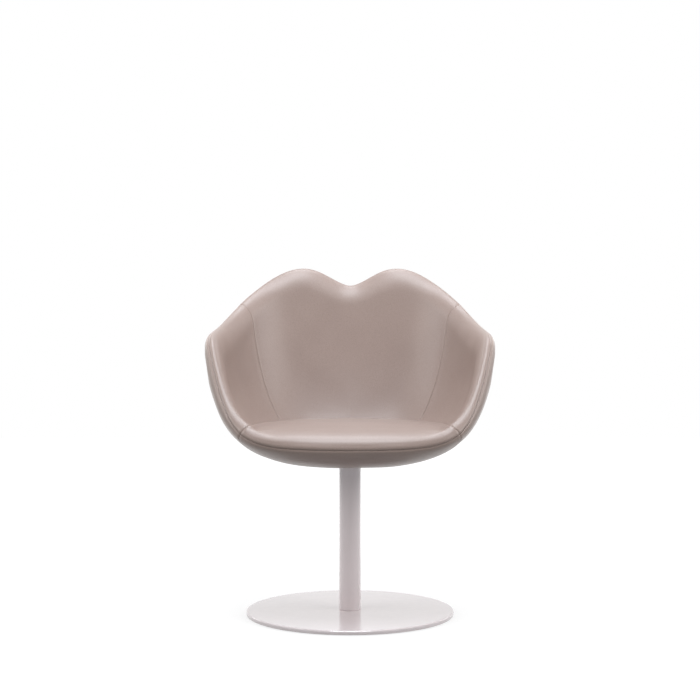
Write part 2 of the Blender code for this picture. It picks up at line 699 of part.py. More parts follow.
def make_thrust_washers(steel, acetal, base, seat):
    outer = THRUST_WASHER_DIAMETER / 2
    for name, bottom, finish, parent in (
            ("lower_thrust_washer", LOWER_WASHER_BOTTOM, steel, base),
            ("slip_washer", SLIP_WASHER_BOTTOM, acetal, seat),
            ("upper_thrust_washer", UPPER_WASHER_BOTTOM, steel, seat)):
        outline = ring_outline(SPINDLE_BORE_RADIUS, outer, bottom, bottom + THRUST_WASHER_THICKNESS)
        turned_solid(name, outline, finish, parent)


def make_spindle(steel, parent):
    radius = SPINDLE_DIAMETER / 2
    shoulder = MOUNT_BOTTOM - FIT_GAP
    spigot = SPINDLE_SPIGOT_DIAMETER / 2
    groove_radius = radius - RETAINING_GROOVE_DEPTH
    groove_low = groove_bottom()
    groove_high = retaining_ring_bottom() + RETAINING_RING_THICKNESS + FIT_GAP / 2
    turned_solid("spindle", [
        (0, SPINDLE_BOTTOM), (radius - SPINDLE_CHAMFER, SPINDLE_BOTTOM),
        (radius, SPINDLE_BOTTOM + SPINDLE_CHAMFER), (radius, groove_low), (groove_radius, groove_low),
        (groove_radius, groove_high), (radius, groove_high), (radius, shoulder), (spigot, shoulder),
        (spigot, MOUNT_TOP), (0, MOUNT_TOP)],
        steel, parent, closed=False)
    bottom = spindle_washer_bottom()
    outline = ring_outline(
        SPINDLE_BORE_RADIUS, SPINDLE_WASHER_DIAMETER / 2, bottom, bottom + SPINDLE_WASHER_THICKNESS)
    turned_solid("spindle_washer", outline, steel, parent)
    bottom = retaining_ring_bottom()
    outline = ring_outline(
        groove_radius + FIT_GAP, RETAINING_RING_DIAMETER / 2, bottom, bottom + RETAINING_RING_THICKNESS)
    ring = turned_solid(
        "retaining_ring", outline, steel, parent, turn=math.tau - math.radians(RING_OPENING_TURN))
    ring.rotation_euler.z = math.radians(RING_OPENING_TURN / 2)


def make_mounting_plate(steel, parent):
    radius = MOUNT_DIAMETER / 2
    bore = SPINDLE_SPIGOT_DIAMETER / 2 + FIT_GAP
    plate = turned_solid("mounting_plate", [
        (bore, MOUNT_BOTTOM), (radius - MOUNT_CHAMFER, MOUNT_BOTTOM), (radius, MOUNT_BOTTOM + MOUNT_CHAMFER),
        (radius, MOUNT_TOP), (bore, MOUNT_TOP)], steel, parent, TURNED_SEGMENTS + SCREW_SEGMENTS)
    hole_radius = MOUNT_SCREW_DIAMETER / 2 + FIT_GAP
    shank = MOUNT_SCREW_DIAMETER / 2
    head = MOUNT_SCREW_HEAD_DIAMETER / 2
    neck = MOUNT_BOTTOM + MOUNT_SCREW_HEAD_DEPTH
    screw_bottom = MOUNT_BOTTOM + FIT_GAP
    screw_top = screw_bottom + MOUNT_SCREW_LENGTH
    outline = [
        (0, screw_bottom), (head - FIT_GAP, screw_bottom), (shank, neck), (shank, screw_top), (0, screw_top)]
    for number, place in enumerate(mount_screw_places(), 1):
        hole = turned_solid(f"plate_screw_hole_{number}", [
            (0, MOUNT_BOTTOM - CUT_OVERRUN), (head + FIT_GAP, MOUNT_BOTTOM - CUT_OVERRUN),
            (head + FIT_GAP, MOUNT_BOTTOM), (hole_radius, neck), (hole_radius, MOUNT_TOP + CUT_OVERRUN),
            (0, MOUNT_TOP + CUT_OVERRUN)], None, None, SCREW_SEGMENTS, closed=False)
        hole.location = place
        cut(plate, as_cutter(hole))
        screw = turned_solid(f"plate_screw_{number}", outline, steel, parent, SCREW_SEGMENTS, closed=False)
        screw.location = place
        key = hexagon_cutter(f"plate_screw_key_{number}", MOUNT_SCREW_KEY_WIDTH, screw_bottom - CUT_OVERRUN,
                             screw_bottom + MOUNT_SCREW_KEY_DEPTH)
        key.location = place
        cut(screw, key)


def mount_screw_places():
    return copies_round_axis(MOUNT_SCREW_COUNT, MOUNT_SCREW_CIRCLE_RADIUS, MOUNT_SCREW_START_TURN)


# Tub: shell, padding and leather

def centre_column(points, centre):
    """Adds one row at the front of a grid of points: the same centre point for each station."""
    pole = np.broadcast_to(centre, (len(points), 1, 3))
    return np.concatenate([pole, points], axis=1)


def make_shell(finish, steel, parent):
    stations = ring_stations()
    outer = below_rim(outer_layer(stations, RISE_SHARES, SHELL_DEPTH), stations)
    inner = below_rim(outer_layer(stations, RISE_SHARES, SHELL_INNER_DEPTH), stations)
    shell = layer_solid(
        "tub_shell", centre_column(outer, (0, 0, SHELL_FLOOR_BOTTOM)),
        centre_column(inner, (0, 0, SHELL_FLOOR_TOP)), finish, parent, wrap=True, pole=True)
    barrel = MOUNT_SCREW_DIAMETER / 2 + FIT_GAP + T_NUT_WALL
    bore = MOUNT_SCREW_DIAMETER / 2 + FIT_GAP
    flange = T_NUT_FLANGE_DIAMETER / 2
    nut_top = SHELL_FLOOR_TOP
    flange_bottom = nut_top - T_NUT_FLANGE_THICKNESS
    barrel_bottom = nut_top - T_NUT_LENGTH
    for number, place in enumerate(mount_screw_places(), 1):
        hole = turned_solid(f"t_nut_hole_{number}", [
            (0, SHELL_FLOOR_BOTTOM - CUT_OVERRUN), (barrel + FIT_GAP, SHELL_FLOOR_BOTTOM - CUT_OVERRUN),
            (barrel + FIT_GAP, flange_bottom - FIT_GAP), (flange + FIT_GAP, flange_bottom - FIT_GAP),
            (flange + FIT_GAP, nut_top + CUT_OVERRUN), (0, nut_top + CUT_OVERRUN)],
            None, None, SCREW_SEGMENTS, closed=False)
        hole.location = place
        cut(shell, as_cutter(hole))
        nut = turned_solid(f"t_nut_{number}", [
            (bore, barrel_bottom), (barrel, barrel_bottom), (barrel, flange_bottom), (flange, flange_bottom),
            (flange, nut_top), (bore, nut_top)], steel, parent, SCREW_SEGMENTS)
        nut.location = place


def make_wadding(finish, parent):
    stations = ring_stations()
    outer = below_rim(outer_layer(stations, COVER_RISE_SHARES, WADDING_DEPTH), stations)
    inner = below_rim(
        outer_layer(stations, COVER_RISE_SHARES, WADDING_DEPTH + WADDING_THICKNESS), stations)
    layer_solid("outer_wadding", outer, inner, finish, parent, wrap=True)


def make_dust_cover(finish, parent):
    """Black cover under the tub, between the mounting plate and the leather's lower edge."""
    stations = ring_stations()
    hole_radius = MOUNT_DIAMETER / 2 + FIT_GAP + MOUNT_CHAMFER
    layers = []
    for depth in (SHELL_DEPTH - FIT_GAP - DUST_COVER_THICKNESS, SHELL_DEPTH - FIT_GAP):
        points = outer_layer(stations, DUST_COVER_RISE_SHARES, depth)
        hole = points[:, 0].copy()
        hole[:, :2] = hole_radius * unit(hole[:, :2])
        layers.append(shortened(np.concatenate([hole[:, None], points], axis=1), SEAM_GAP))
    layer_solid("underside_cover", layers[0], layers[1], finish, parent, wrap=True)


def make_outside_leather(finish, parent):
    half_gap = math.degrees(SEAM_GAP / 2 / RIM_RADIUS)
    panels = (("front_under_cover", front_stations()), ("outer_cover", side_and_back_stations()))
    for name, stations in panels:
        seam = rim_seam_turns(stations) - half_gap
        turns = rows_between(np.zeros(len(stations)), seam, RIM_SEAM_ROWS)
        layers = []
        for depth in (0.0, LEATHER_THICKNESS):
            wall = outer_layer(stations, COVER_RISE_SHARES, depth)
            layers.append(eased(np.concatenate([wall, skin(stations, turns, depth)], axis=1)))
        layer_solid(name, layers[0], layers[1], finish, parent)


def upholstered_parts():
    return (
        ("front", front_stations()), ("right_arm", right_arm_stations()), ("back", back_stations()),
        ("left_arm", left_arm_stations()))


def make_rim_foam(finish, parent):
    """Four foam pieces over the shell's edge: each is a roll on the rim and a pad down the inner face."""
    pad_rises = FOAM_RISE_SHARES[:-1][::-1]
    for name, stations in upholstered_parts():
        front = skin(stations, foam_turns(stations), FOAM_DEPTH)
        slot_depths = np.linspace(FOAM_DEPTH + FOAM_LIP, FOAM_BACK_DEPTH, front.shape[1] - len(pad_rises))
        top = np.ones((len(stations), 1))
        slot = outer_face(stations, top) - slot_depths[:, None] * outward(stations, top)
        pad = outer_layer(stations, pad_rises, FOAM_BACK_DEPTH)
        back = np.concatenate([slot, pad], axis=1)
        panel_rows = range(RIM_SEAM_ROWS, RIM_SEAM_ROWS + len(PANEL_SHARES)) if name == "right_arm" else ()
        layer_solid(
            name + "_foam", shortened(eased(front)), shortened(eased(back)), finish, parent,
            runs_down=lambda side, row: side == 1 or row in panel_rows)


def make_inner_leather(finish, parent):
    """Leather of the arms and the back, from the rim seam down to where it tucks under the seat."""
    half_gap = math.degrees(SEAM_GAP / 2 / RIM_RADIUS)
    for name, stations in upholstered_parts()[1:]:
        turns = foam_turns(stations)[:, RIM_SEAM_ROWS:]
        turns[:, 0] += half_gap
        layers = [shortened(eased(skin(stations, turns, depth))) for depth in (0.0, LEATHER_THICKNESS)]
        panel_rows = range(len(PANEL_SHARES)) if name == "right_arm" else ()
        layer_solid(
            name + "_cover", layers[0], layers[1], finish, parent,
            runs_down=lambda side, row: row in panel_rows)


def is_front(stations):
    """True for stations strictly between the two front cross seams."""
    return from_front_middle(stations) < FRONT_SEAM_STATION - TANGENT_STEP_SHARE


def dome_rows(stations, depth):
    """Rows of the seat's top from its middle outwards, moved down by a depth, with their middle point."""
    edge_turns = seat_edge_turns(stations)
    front = is_front(stations)
    on_roll = skin(stations, edge_turns[:, None], depth)[:, 0]
    lowered = turn_below(stations, edge_turns, depth)
    against_wall = skin(stations, lowered[:, None], -FIT_GAP)[:, 0]
    edge = np.where(front[:, None], on_roll, against_wall)
    centre = np.array((0.0, -SEAT_CENTRE_SETBACK, SEAT_HEIGHT - depth))
    power = np.interp(
        from_front_middle(stations), (FRONT_SEAM_STATION / 2, BACK_SEAM_STATION),
        (FRONT_DOME_POWER, BACK_DOME_POWER))
    shares = np.array(DOME_SHARES)
    rows = centre + shares[:, None] * (edge[:, None] - centre)
    rows[..., 2] = centre[2] - (centre[2] - edge[:, 2:3]) * shares ** power[:, None]
    return rows, centre


def make_seat_leather(finish, parent):
    """The seat's leather: a dome over the whole seat that runs over the front roll to the rim seam."""
    stations = ring_stations()
    half_gap = math.degrees(SEAM_GAP / 2 / RIM_RADIUS)
    edge_turns = seat_edge_turns(stations)
    flap_turns = panel_turns(rim_seam_turns(stations) + half_gap, edge_turns)[:, -2::-1]
    layers = []
    for depth in (0.0, LEATHER_THICKNESS):
        rows, centre = dome_rows(stations, depth)
        flap = skin(stations, flap_turns, depth)
        flap[:FRONT_CELLS + 1] = eased(flap[:FRONT_CELLS + 1])
        layers.append(centre_column(np.concatenate([rows, flap], axis=1), centre))
    last_dome_row = len(DOME_SHARES)
    layer_solid(
        "seat_cover", layers[0], layers[1], finish, parent, wrap=True, pole=True,
        keep=lambda station, row: row < last_dome_row or station < FRONT_CELLS,
        runs_down=lambda side, row: row >= last_dome_row)


def make_seat_foam(finish, parent):
    """The seat's foam. At the front it reaches the front roll's foam, elsewhere its edge is cut at a slant."""
    stations = ring_stations()
    rows, centre = dome_rows(stations, LEATHER_THICKNESS + FIT_GAP)
    side_depth = np.where(is_front(stations), WADDING_DEPTH - FIT_GAP, -FIT_GAP)[:, None]
    side = skin(stations, seat_side_turns(stations), side_depth)
    beside_roll = rows[:, -1] + SEAM_GAP * unit(centre - rows[:, -1])
    on_slant = (rows[:, -2] + side[:, 0]) / 2
    rows[:, -1] = np.where(is_front(stations)[:, None], beside_roll, on_slant)
    top = centre_column(np.concatenate([rows, side], axis=1), centre)
    floor_centre = np.array((0.0, 0.0, TUB_UNDERSIDE_HEIGHT + FOAM_BACK_DEPTH))
    bowl = outer_layer(stations, SEAT_BASE_RISE_SHARES, FOAM_BACK_DEPTH)
    flat = floor_centre + np.array(SEAT_BASE_SHARES)[:, None] * (bowl[:, :1] - floor_centre)
    bottom = centre_column(np.concatenate([flat, bowl], axis=1), floor_centre)
    layer_solid("seat_foam", top, bottom, finish, parent, wrap=True, pole=True)


def make_empty(name):
    empty = bpy.data.objects.new(name, None)
    bpy.context.scene.collection.objects.link(empty)
    return empty


def main():
    for old in list(bpy.data.objects):
        bpy.data.objects.remove(old, do_unlink=True)
    finishes = make_materials()
    base = make_empty("base")
    seat = make_empty("seat")
    make_base_plate(finishes["painted_steel"], base)
    make_glides(finishes["nylon"], base)
    make_column(finishes["painted_steel"], base)
    make_foot_parts(finishes["bare_steel"], base)
    make_bushes(finishes["nylon"], base)
    make_thrust_washers(finishes["bare_steel"], finishes["acetal"], base, seat)
    make_spindle(finishes["bare_steel"], seat)
    make_mounting_plate(finishes["bare_steel"], seat)
    make_shell(finishes["shell"], finishes["bare_steel"], seat)
    make_wadding(finishes["wadding"], seat)
    make_dust_cover(finishes["dust_cover"], seat)
    make_outside_leather(finishes["leather"], seat)
    make_rim_foam(finishes["foam"], seat)
    make_inner_leather(finishes["leather"], seat)
    make_seat_leather(finishes["leather"], seat)
    make_seat_foam(finishes["foam"], seat)


main()
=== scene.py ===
"""Looks of the pedestal chair: sewn leather over the tub, painted steel foot, studio light and camera.

Metres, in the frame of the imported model: +Z up, the floor at zero, the seat facing -Y.
"""
import math

import bpy
import numpy as np
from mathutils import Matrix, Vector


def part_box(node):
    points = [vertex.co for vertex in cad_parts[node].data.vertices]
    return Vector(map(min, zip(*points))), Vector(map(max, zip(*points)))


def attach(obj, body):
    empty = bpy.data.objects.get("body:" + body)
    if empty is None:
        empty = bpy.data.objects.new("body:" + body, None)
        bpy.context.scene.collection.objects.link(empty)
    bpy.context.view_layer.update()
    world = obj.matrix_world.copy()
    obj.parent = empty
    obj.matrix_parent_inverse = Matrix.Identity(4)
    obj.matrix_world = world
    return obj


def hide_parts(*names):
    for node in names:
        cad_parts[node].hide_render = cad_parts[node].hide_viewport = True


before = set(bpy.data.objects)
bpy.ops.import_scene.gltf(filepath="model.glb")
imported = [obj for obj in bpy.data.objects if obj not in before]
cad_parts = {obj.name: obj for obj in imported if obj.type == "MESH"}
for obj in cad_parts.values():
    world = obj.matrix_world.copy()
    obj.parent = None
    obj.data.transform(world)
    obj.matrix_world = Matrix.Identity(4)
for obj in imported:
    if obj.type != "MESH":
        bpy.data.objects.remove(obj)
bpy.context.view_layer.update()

# Camera of the photograph
CAMERA_FIELD_DEGREES = 30.0
CAMERA_DISTANCE = 3.032
CAMERA_HEIGHT = 0.612

# Tub, as the solids have it
TUB_WIDTH = 0.650
TUB_DEPTH = 0.580
TUB_RISE = 0.467
SEAT_RISE = 0.093
SEAT_EDGE_RISE = 0.086
SEAT_CENTRE_SETBACK = 0.040
RIM_RADIUS = 0.021
FRONT_WALL_DEPTH = 0.038
ARM_WALL_DEPTH = 0.029
BACK_WALL_DEPTH = 0.047
SHELL_DEPTH = 0.0038
FIT_GAP = 0.0003
TUB_UNDERSIDE_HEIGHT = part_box("mounting_plate")[1].z + FIT_GAP - SHELL_DEPTH
SEAT_HEIGHT = TUB_UNDERSIDE_HEIGHT + SEAT_RISE
SEAT_EDGE_HEIGHT = TUB_UNDERSIDE_HEIGHT + SEAT_EDGE_RISE

# Control rings of the tub's outer face, as shares of half its width, half its depth and its rise.
# Each goes from the front middle round the right arm to the back middle. The left is its mirror.
RIM_SHARES = (
    (0.000, -0.986, 0.071), (0.365, -0.970, 0.071), (0.702, -0.860, 0.096), (0.888, -0.683, 0.248),
    (0.991, -0.431, 0.505), (1.022, -0.259, 0.598), (0.990, 0.224, 0.616), (0.862, 0.672, 0.747),
    (0.616, 0.935, 0.889), (0.311, 1.004, 0.993), (0.000, 1.004, 0.784))
WALL_SHARES = (
    (0.000, -0.845, -0.009), (0.323, -0.828, -0.004), (0.640, -0.672, 0.041), (0.895, -0.397, 0.141),
    (1.009, -0.207, 0.227), (1.034, -0.034, 0.248), (0.960, 0.310, 0.227), (0.751, 0.655, 0.238),
    (0.498, 0.828, 0.259), (0.246, 0.886, 0.281), (0.000, 0.897, 0.270))
BEND_SHARES = (
    (0.000, -0.638, 0.000), (0.231, -0.621, 0.000), (0.425, -0.500, 0.000), (0.569, -0.310, 0.000),
    (0.637, -0.155, 0.000), (0.652, 0.000, 0.000), (0.600, 0.241, 0.000), (0.477, 0.466, 0.000),
    (0.323, 0.603, 0.000), (0.160, 0.666, 0.000), (0.000, 0.683, 0.000))
FLOOR_SHARES = (
    (0.000, -0.414, 0.000), (0.154, -0.379, 0.000), (0.262, -0.276, 0.000), (0.323, -0.172, 0.000),
    (0.354, -0.086, 0.000), (0.363, 0.000, 0.000), (0.345, 0.103, 0.000), (0.292, 0.241, 0.000),
    (0.200, 0.345, 0.000), (0.108, 0.397, 0.000), (0.000, 0.414, 0.000))

# Stations count control points round the tub: 0 at the front middle, 10 at the back middle, and
# 20 is the front middle again.
STATION_COUNT = 20
FRONT_SEAM_STATION = 2.2
ARM_TIP_STATION = 3.5
BACK_SEAM_STATION = 7.0
CELLS_PER_STATION = 16
CELL_HEIGHT = 0.006
LEAST_COLUMNS = 4

# A path runs up the tub: 0 to 1 on the outer face, then 1 more for each 100 degrees over the rim,
# and on down the inner face.
DEGREES_PER_PATH = 100.0
COVER_START_PATH = 0.14
SEAM_STATIONS = (0.0, 1.2, 2.2, 3.0, 4.5, 10.0)
SEAM_PATHS = (1.40, 1.44, 1.53, 1.62, 1.55, 1.55)
FRONT_ROLL_PATH = 2.10
SHOULDER_STATIONS = (2.2, 6.0, 7.0, 8.0, 9.0, 10.0)
SHOULDER_LENGTHS = (0.045, 0.042, 0.028, 0.034, 0.048, 0.036)
SHOULDER_EARLY_PATHS = (0.10, 0.20, 0.25, 0.25, 0.25, 0.25)
ELLIPSE_SHARE = 0.5523
SHOULDER_HANDLE_SHARES = (0.48, 0.48)
FRONT_HANDLE_SHARES = (0.80, 0.72)
RIM_INNER_PATH = 2.80
LOWEST_PATH = 4.70
LEAST_CROWN_PATH = 1.60
LOWEST_RISE_SHARE = 0.28
INNER_SWELL_SHARE = 0.55
SPEED_STEP_SHARE = 0.002
PATH_STEP = 0.01
PATH_SAMPLES = 500

# Seams: how far the leather turns in, how round its edge is, and how it swells beside the stitches.
# The swell's factor makes its highest point SWELL_HEIGHT.
SEAM_DEPTH = 0.0036
PANEL_SEAM_DEPTH = 0.0007
RIM_SEAM_ROUND = 0.0016
PANEL_SEAM_ROUND = 0.0014
SWELL_HEIGHT = 0.0006
SWELL_WIDTH = 0.010
SWELL_SHARES = (0.08, 0.2, 0.35, 0.55, 0.75, 1.0)
SWELL_FACTOR = 27 / 4
SEAM_EDGE_DEGREES = (0, 22, 45, 67, 90)
HALF_SEAM_GAP = 0.00006
PUCKER_HEIGHT = 0.00005
PUCKER_LENGTH = 0.024
PUCKER_REACH = 0.005
PUCKER_SEED = 3
RIPPLE_HEIGHT = 0.0003
RIPPLE_LENGTH = 0.090
RIPPLE_SEED = 5
WAVE_COUNT = 12
WAVE_LENGTH_SHARES = (0.6, 1.6)
WAVE_SCALE = 3.5
LEATHER_THICKNESS = 0.0012
WELD_DISTANCE = 0.00002

# The seams beside the back draw the padding in: over the rim, and less down the inner face
SEAM_PULL = 0.0017
SEAM_PULL_WIDTH = 0.007
PULL_RIM_PATH = 2.45
PULL_RIM_REACH = 0.45
PULL_INNER_PATH = 2.3
PULL_INNER_RISE = 0.5
PULL_INNER_FALL = 1.5
PULL_INNER_SHARE = 0.3

# Seat cushion
DOME_POWER_FRONT = 6.5
DOME_POWER_BACK = 4.0
SEAT_ROLL_LENGTH = 0.010
FRONT_ROLL_DEPTH = 0.070
FRONT_BROAD_STATIONS = 1.3
FRONT_RUN_POWER = 0.8
FLAP_PATHS = 0.33
SEAT_EDGE_PATH = 2.0
SPEED_PROBE_PATH = 0.05
PROBE_LENGTH = 0.002
PROBE_DEPTH = 0.001
SINK_SHARES = (1, 1, 1, 0.9, 0.7, 0.4, 0.15)
SOFTENING_COUNT = 6
SEAT_TUCK_LENGTH = 0.020
SEAT_WALL_GAP = 0.0004
CORNER_FADE_STATIONS = 0.35
DOME_ROWS = 36
STEPS_PAST = SEAT_ROLL_LENGTH * np.array((-1.0, -0.85, -0.7, -0.55, -0.4, -0.25, -0.12))
STEPS_INSIDE = SEAT_ROLL_LENGTH * np.array(
    (0, 0.12, 0.25, 0.4, 0.55, 0.7, 0.85, 1.0, 1.4, 2, 3, 4, 5, 6, 7))

# The pad's cloth is a square grid, whose edge is 8 half sides long
PAD_CELLS = 44
PAD_HALF_SIDES = 8
PAD_HELD_SHARE = 0.97
PAD_SLACK = 0.003
PAD_PRESSURE = 4.0
PAD_STIFFNESS = 25
PAD_BENDING = 2
PAD_QUALITY = 6
PAD_FRAMES = 20
PAD_MOST_SWELL = 0.006

# Finishes
NOISE_RANGE = (0.3, 0.7)
GRAIN_RANGE = (0.25, 0.75)
LEATHER_DARK = (0.298, 0.225, 0.197)
LEATHER_LIGHT = (0.322, 0.245, 0.214)
LEATHER_VALLEY = (0.252, 0.185, 0.160)
LEATHER_ROUGHNESS = (0.50, 0.58)
GRAIN_SCALE = 850.0
GRAIN_SHIFT = 0.002
GRAIN_SHIFT_SCALE = 90.0
GRAIN_DEPTH = 0.00006
MOTTLE_SCALE = 14.0
PORE_SCALE = 2600.0
PAINT_DARK = (0.770, 0.690, 0.700)
PAINT_LIGHT = (0.790, 0.710, 0.720)
PAINT_ROUGHNESS = (0.17, 0.22)
PAINT_DEPTH = 0.00001

# Studio
FLOOR_TONE = (0.22, 0.22, 0.22, 1)
FLOOR_LEVEL_NEAR = 0.80
FLOOR_FADE = (0.5, 1.6)
FLOOR_HALF = 6.0
WHITE = (1, 1, 1, 1)
WORLD_LEVEL = 0.22
LAMP_AIM = (0, 0, 0.6)
TOP_SIZE = 1.1
SIDE_SIZE = 1.4
TOP_COLOUR = (0.95, 1.0, 1.06)
SIDE_COLOUR = (0.98, 1.0, 1.02)
FRONT_COLOUR = (1.0, 0.98, 0.95)
BACK_COLOUR = (1.0, 1.0, 1.0)
LAMPS = (
    ("top_front_light", (0.0, -0.8, 2.6), TOP_SIZE, 41.0, TOP_COLOUR),
    ("top_back_light", (0.0, 0.5, 2.6), TOP_SIZE, 22.0, TOP_COLOUR),
    ("right_light", (2.3, -0.2, 1.5), SIDE_SIZE, 18.0, SIDE_COLOUR),
    ("left_light", (-2.3, -0.2, 1.5), SIDE_SIZE, 16.0, SIDE_COLOUR),
    ("right_front_light", (2.3, -1.6, 1.7), SIDE_SIZE, 22.0, FRONT_COLOUR),
    ("left_front_light", (-2.3, -1.6, 1.7), SIDE_SIZE, 18.0, FRONT_COLOUR),
    ("right_back_light", (1.7, 2.1, 1.6), SIDE_SIZE, 9.0, BACK_COLOUR),
    ("left_back_light", (-1.7, 2.1, 1.6), SIDE_SIZE, 9.0, BACK_COLOUR))


# The tub's surface

def smooth_step(values):
    share = np.clip(values, 0, 1)
    return share * share * (3 - 2 * share)


def ring_points(shares, stations):
    """Uniform cubic B-spline through a closed ring of control points, at the given stations."""
    half = np.array(shares) * (TUB_WIDTH / 2, TUB_DEPTH / 2, TUB_RISE)
    mirrored = half[1:-1][::-1] * (-1, 1, 1)
    ring = np.vstack([half, mirrored]) + (0, 0, TUB_UNDERSIDE_HEIGHT)
    before = np.floor(stations).astype(int)
    part = (stations - before)[..., None]
    weights = (
        (1 - part) ** 3 / 6,
        (3 * part**3 - 6 * part**2 + 4) / 6,
        (-3 * part**3 + 3 * part**2 + 3 * part + 1) / 6,
        part**3 / 6)
    return sum(
        weight * ring[(before + offset - 1) % STATION_COUNT] for offset, weight in enumerate(weights))


def four_rings(stations):
    rings = (FLOOR_SHARES, BEND_SHARES, WALL_SHARES, RIM_SHARES)
    return [ring_points(shares, stations) for shares in rings]


def outer_face(stations, rises):
    floor, bend, wall, rim = four_rings(stations)
    rise = rises[..., None]
    fall = 1 - rise
    return fall**3 * floor + 3 * fall**2 * rise * bend + 3 * fall * rise**2 * wall + rise**3 * rim


def unit(vectors):
    return vectors / np.linalg.norm(vectors, axis=-1, keepdims=True)


def along_tub(stations, rises):
    step = SPEED_STEP_SHARE
    return unit(outer_face(stations + step, rises) - outer_face(stations - step, rises))


def outward(stations, rises):
    """Unit normals of the outer face."""
    floor, bend, wall, rim = four_rings(stations)
    rise = rises[..., None]
    fall = 1 - rise
    upward = fall**2 * (bend - floor) + 2 * fall * rise * (wall - bend) + rise**2 * (rim - wall)
    return unit(np.cross(along_tub(stations, rises), upward))


def from_front_middle(stations):
    """Stations from the front middle, the same on both sides."""
    return np.abs((stations + STATION_COUNT / 2) % STATION_COUNT - STATION_COUNT / 2)


def wall_depth(stations, rises):
    """Thickness of the padded wall: the rim's two radii at the top, the wall's own depth below."""
    swell = smooth_step((1 - rises) / INNER_SWELL_SHARE)
    wall = np.interp(
        from_front_middle(stations), (0, ARM_TIP_STATION, BACK_SEAM_STATION, STATION_COUNT / 2),
        (FRONT_WALL_DEPTH, ARM_WALL_DEPTH, ARM_WALL_DEPTH, BACK_WALL_DEPTH))
    return 2 * RIM_RADIUS + (wall - 2 * RIM_RADIUS) * swell


def inner_path(stations, distance):
    """Path at a distance below the rim on the inner face."""
    wall, rim = four_rings(stations)[2:]
    share = distance / (3 * np.linalg.norm(rim - wall, axis=-1)) / (1 - LOWEST_RISE_SHARE)
    return RIM_INNER_PATH + share * (LOWEST_PATH - RIM_INNER_PATH)


def rounded_corner(start, start_way, end, end_way, share, handles=(ELLIPSE_SHARE, ELLIPSE_SHARE)):
    """Point of a curve like a quarter of an ellipse, between two points with their directions."""
    gap = end - start
    across = np.sum(start_way * end_way, axis=-1, keepdims=True)
    along_start = np.sum(start_way * gap, axis=-1, keepdims=True)
    along_end = np.sum(end_way * gap, axis=-1, keepdims=True)
    scale = 1 - across**2
    first = start + handles[0] * (along_start - across * along_end) / scale * start_way
    second = end - handles[1] * (along_end - across * along_start) / scale * end_way
    rest = 1 - share
    return rest**3 * start + 3 * rest**2 * share * first + 3 * rest * share**2 * second + share**3 * end


def rim_frame(stations):
    """The middle of the rim's roll, with its outward and upward directions."""
    top = np.ones(stations.shape)
    out = outward(stations, top)
    up = unit(np.cross(out, along_tub(stations, top)))
    return outer_face(stations, top) - RIM_RADIUS * out, out, up


def crown_path(stations):
    """Path at which the rim's roll is highest."""
    out, up = rim_frame(stations)[1:]
    return 1 + np.degrees(np.arctan2(up[..., 2], out[..., 2])) / DEGREES_PER_PATH


def on_tub(stations, path, depth=0.0):
    """Points of the tub's skin, moved into the upholstery by a depth.

    The skin is a round roll up to its crown, and eases from there into the inner face.
    """
    stations, path, depth = np.broadcast_arrays(np.asarray(stations, float), path, depth)
    points = plain_skin(stations, path, depth)
    past = path > LEAST_CROWN_PATH
    if past.any():
        points[past] = on_shoulder(stations[past], path[past], depth[past], points[past])
    return points


def on_shoulder(stations, path, depth, points):
    """Points past the roll's crown, with those on the shoulder eased into the inner face."""
    away = from_front_middle(stations)
    first = crown_path(stations) - np.interp(away, SHOULDER_STATIONS, SHOULDER_EARLY_PATHS)
    last = inner_path(stations, np.interp(away, SHOULDER_STATIONS, SHOULDER_LENGTHS))
    share = np.clip((path - first) / (last - first), 0, 1)[:, None]
    step = SPEED_STEP_SHARE
    start = plain_skin(stations, first, depth)
    start_way = unit(start - plain_skin(stations, first - step, depth))
    end = plain_skin(stations, last, depth)
    end_way = unit(plain_skin(stations, last + step, depth) - end)
    eased = rounded_corner(start, start_way, end, end_way, share, SHOULDER_HANDLE_SHARES)
    return np.where(((path > first) & (path < last))[:, None], eased, points)


def plain_skin(stations, path, depth):
    """The skin with a round roll all over the rim."""
    stations, path, depth = np.broadcast_arrays(stations, path, depth)
    depth = depth[..., None]
    outer_rises = np.clip(path, 0, 1)
    outer = outer_face(stations, outer_rises) - depth * outward(stations, outer_rises)
    centre, out, up = rim_frame(stations)
    turn = np.radians((np.minimum(path, RIM_INNER_PATH) - 1) * DEGREES_PER_PATH)[..., None]
    rim = centre + (RIM_RADIUS - depth) * (np.cos(turn) * out + np.sin(turn) * up)
    share = np.clip((path - RIM_INNER_PATH) / (LOWEST_PATH - RIM_INNER_PATH), 0, 1)
    inner_rises = 1 - (1 - LOWEST_RISE_SHARE) * share
    wall = wall_depth(stations, inner_rises)[..., None] - depth
    inner = outer_face(stations, inner_rises) - wall * outward(stations, inner_rises)
    path = path[..., None]
    return np.where(path < 1, outer, np.where(path > RIM_INNER_PATH, inner, rim))


def station_speed(stations, path):
    """Metres of skin for each station."""
    step = SPEED_STEP_SHARE
    ends = on_tub(stations + step, path), on_tub(stations - step, path)
    return np.linalg.norm(ends[0] - ends[1], axis=-1) / (2 * step)


def path_speed(stations, path):
    """Metres of skin for each unit of path."""
    step = SPEED_STEP_SHARE
    ends = on_tub(stations, path + step), on_tub(stations, path - step)
    return np.linalg.norm(ends[0] - ends[1], axis=-1) / (2 * step)


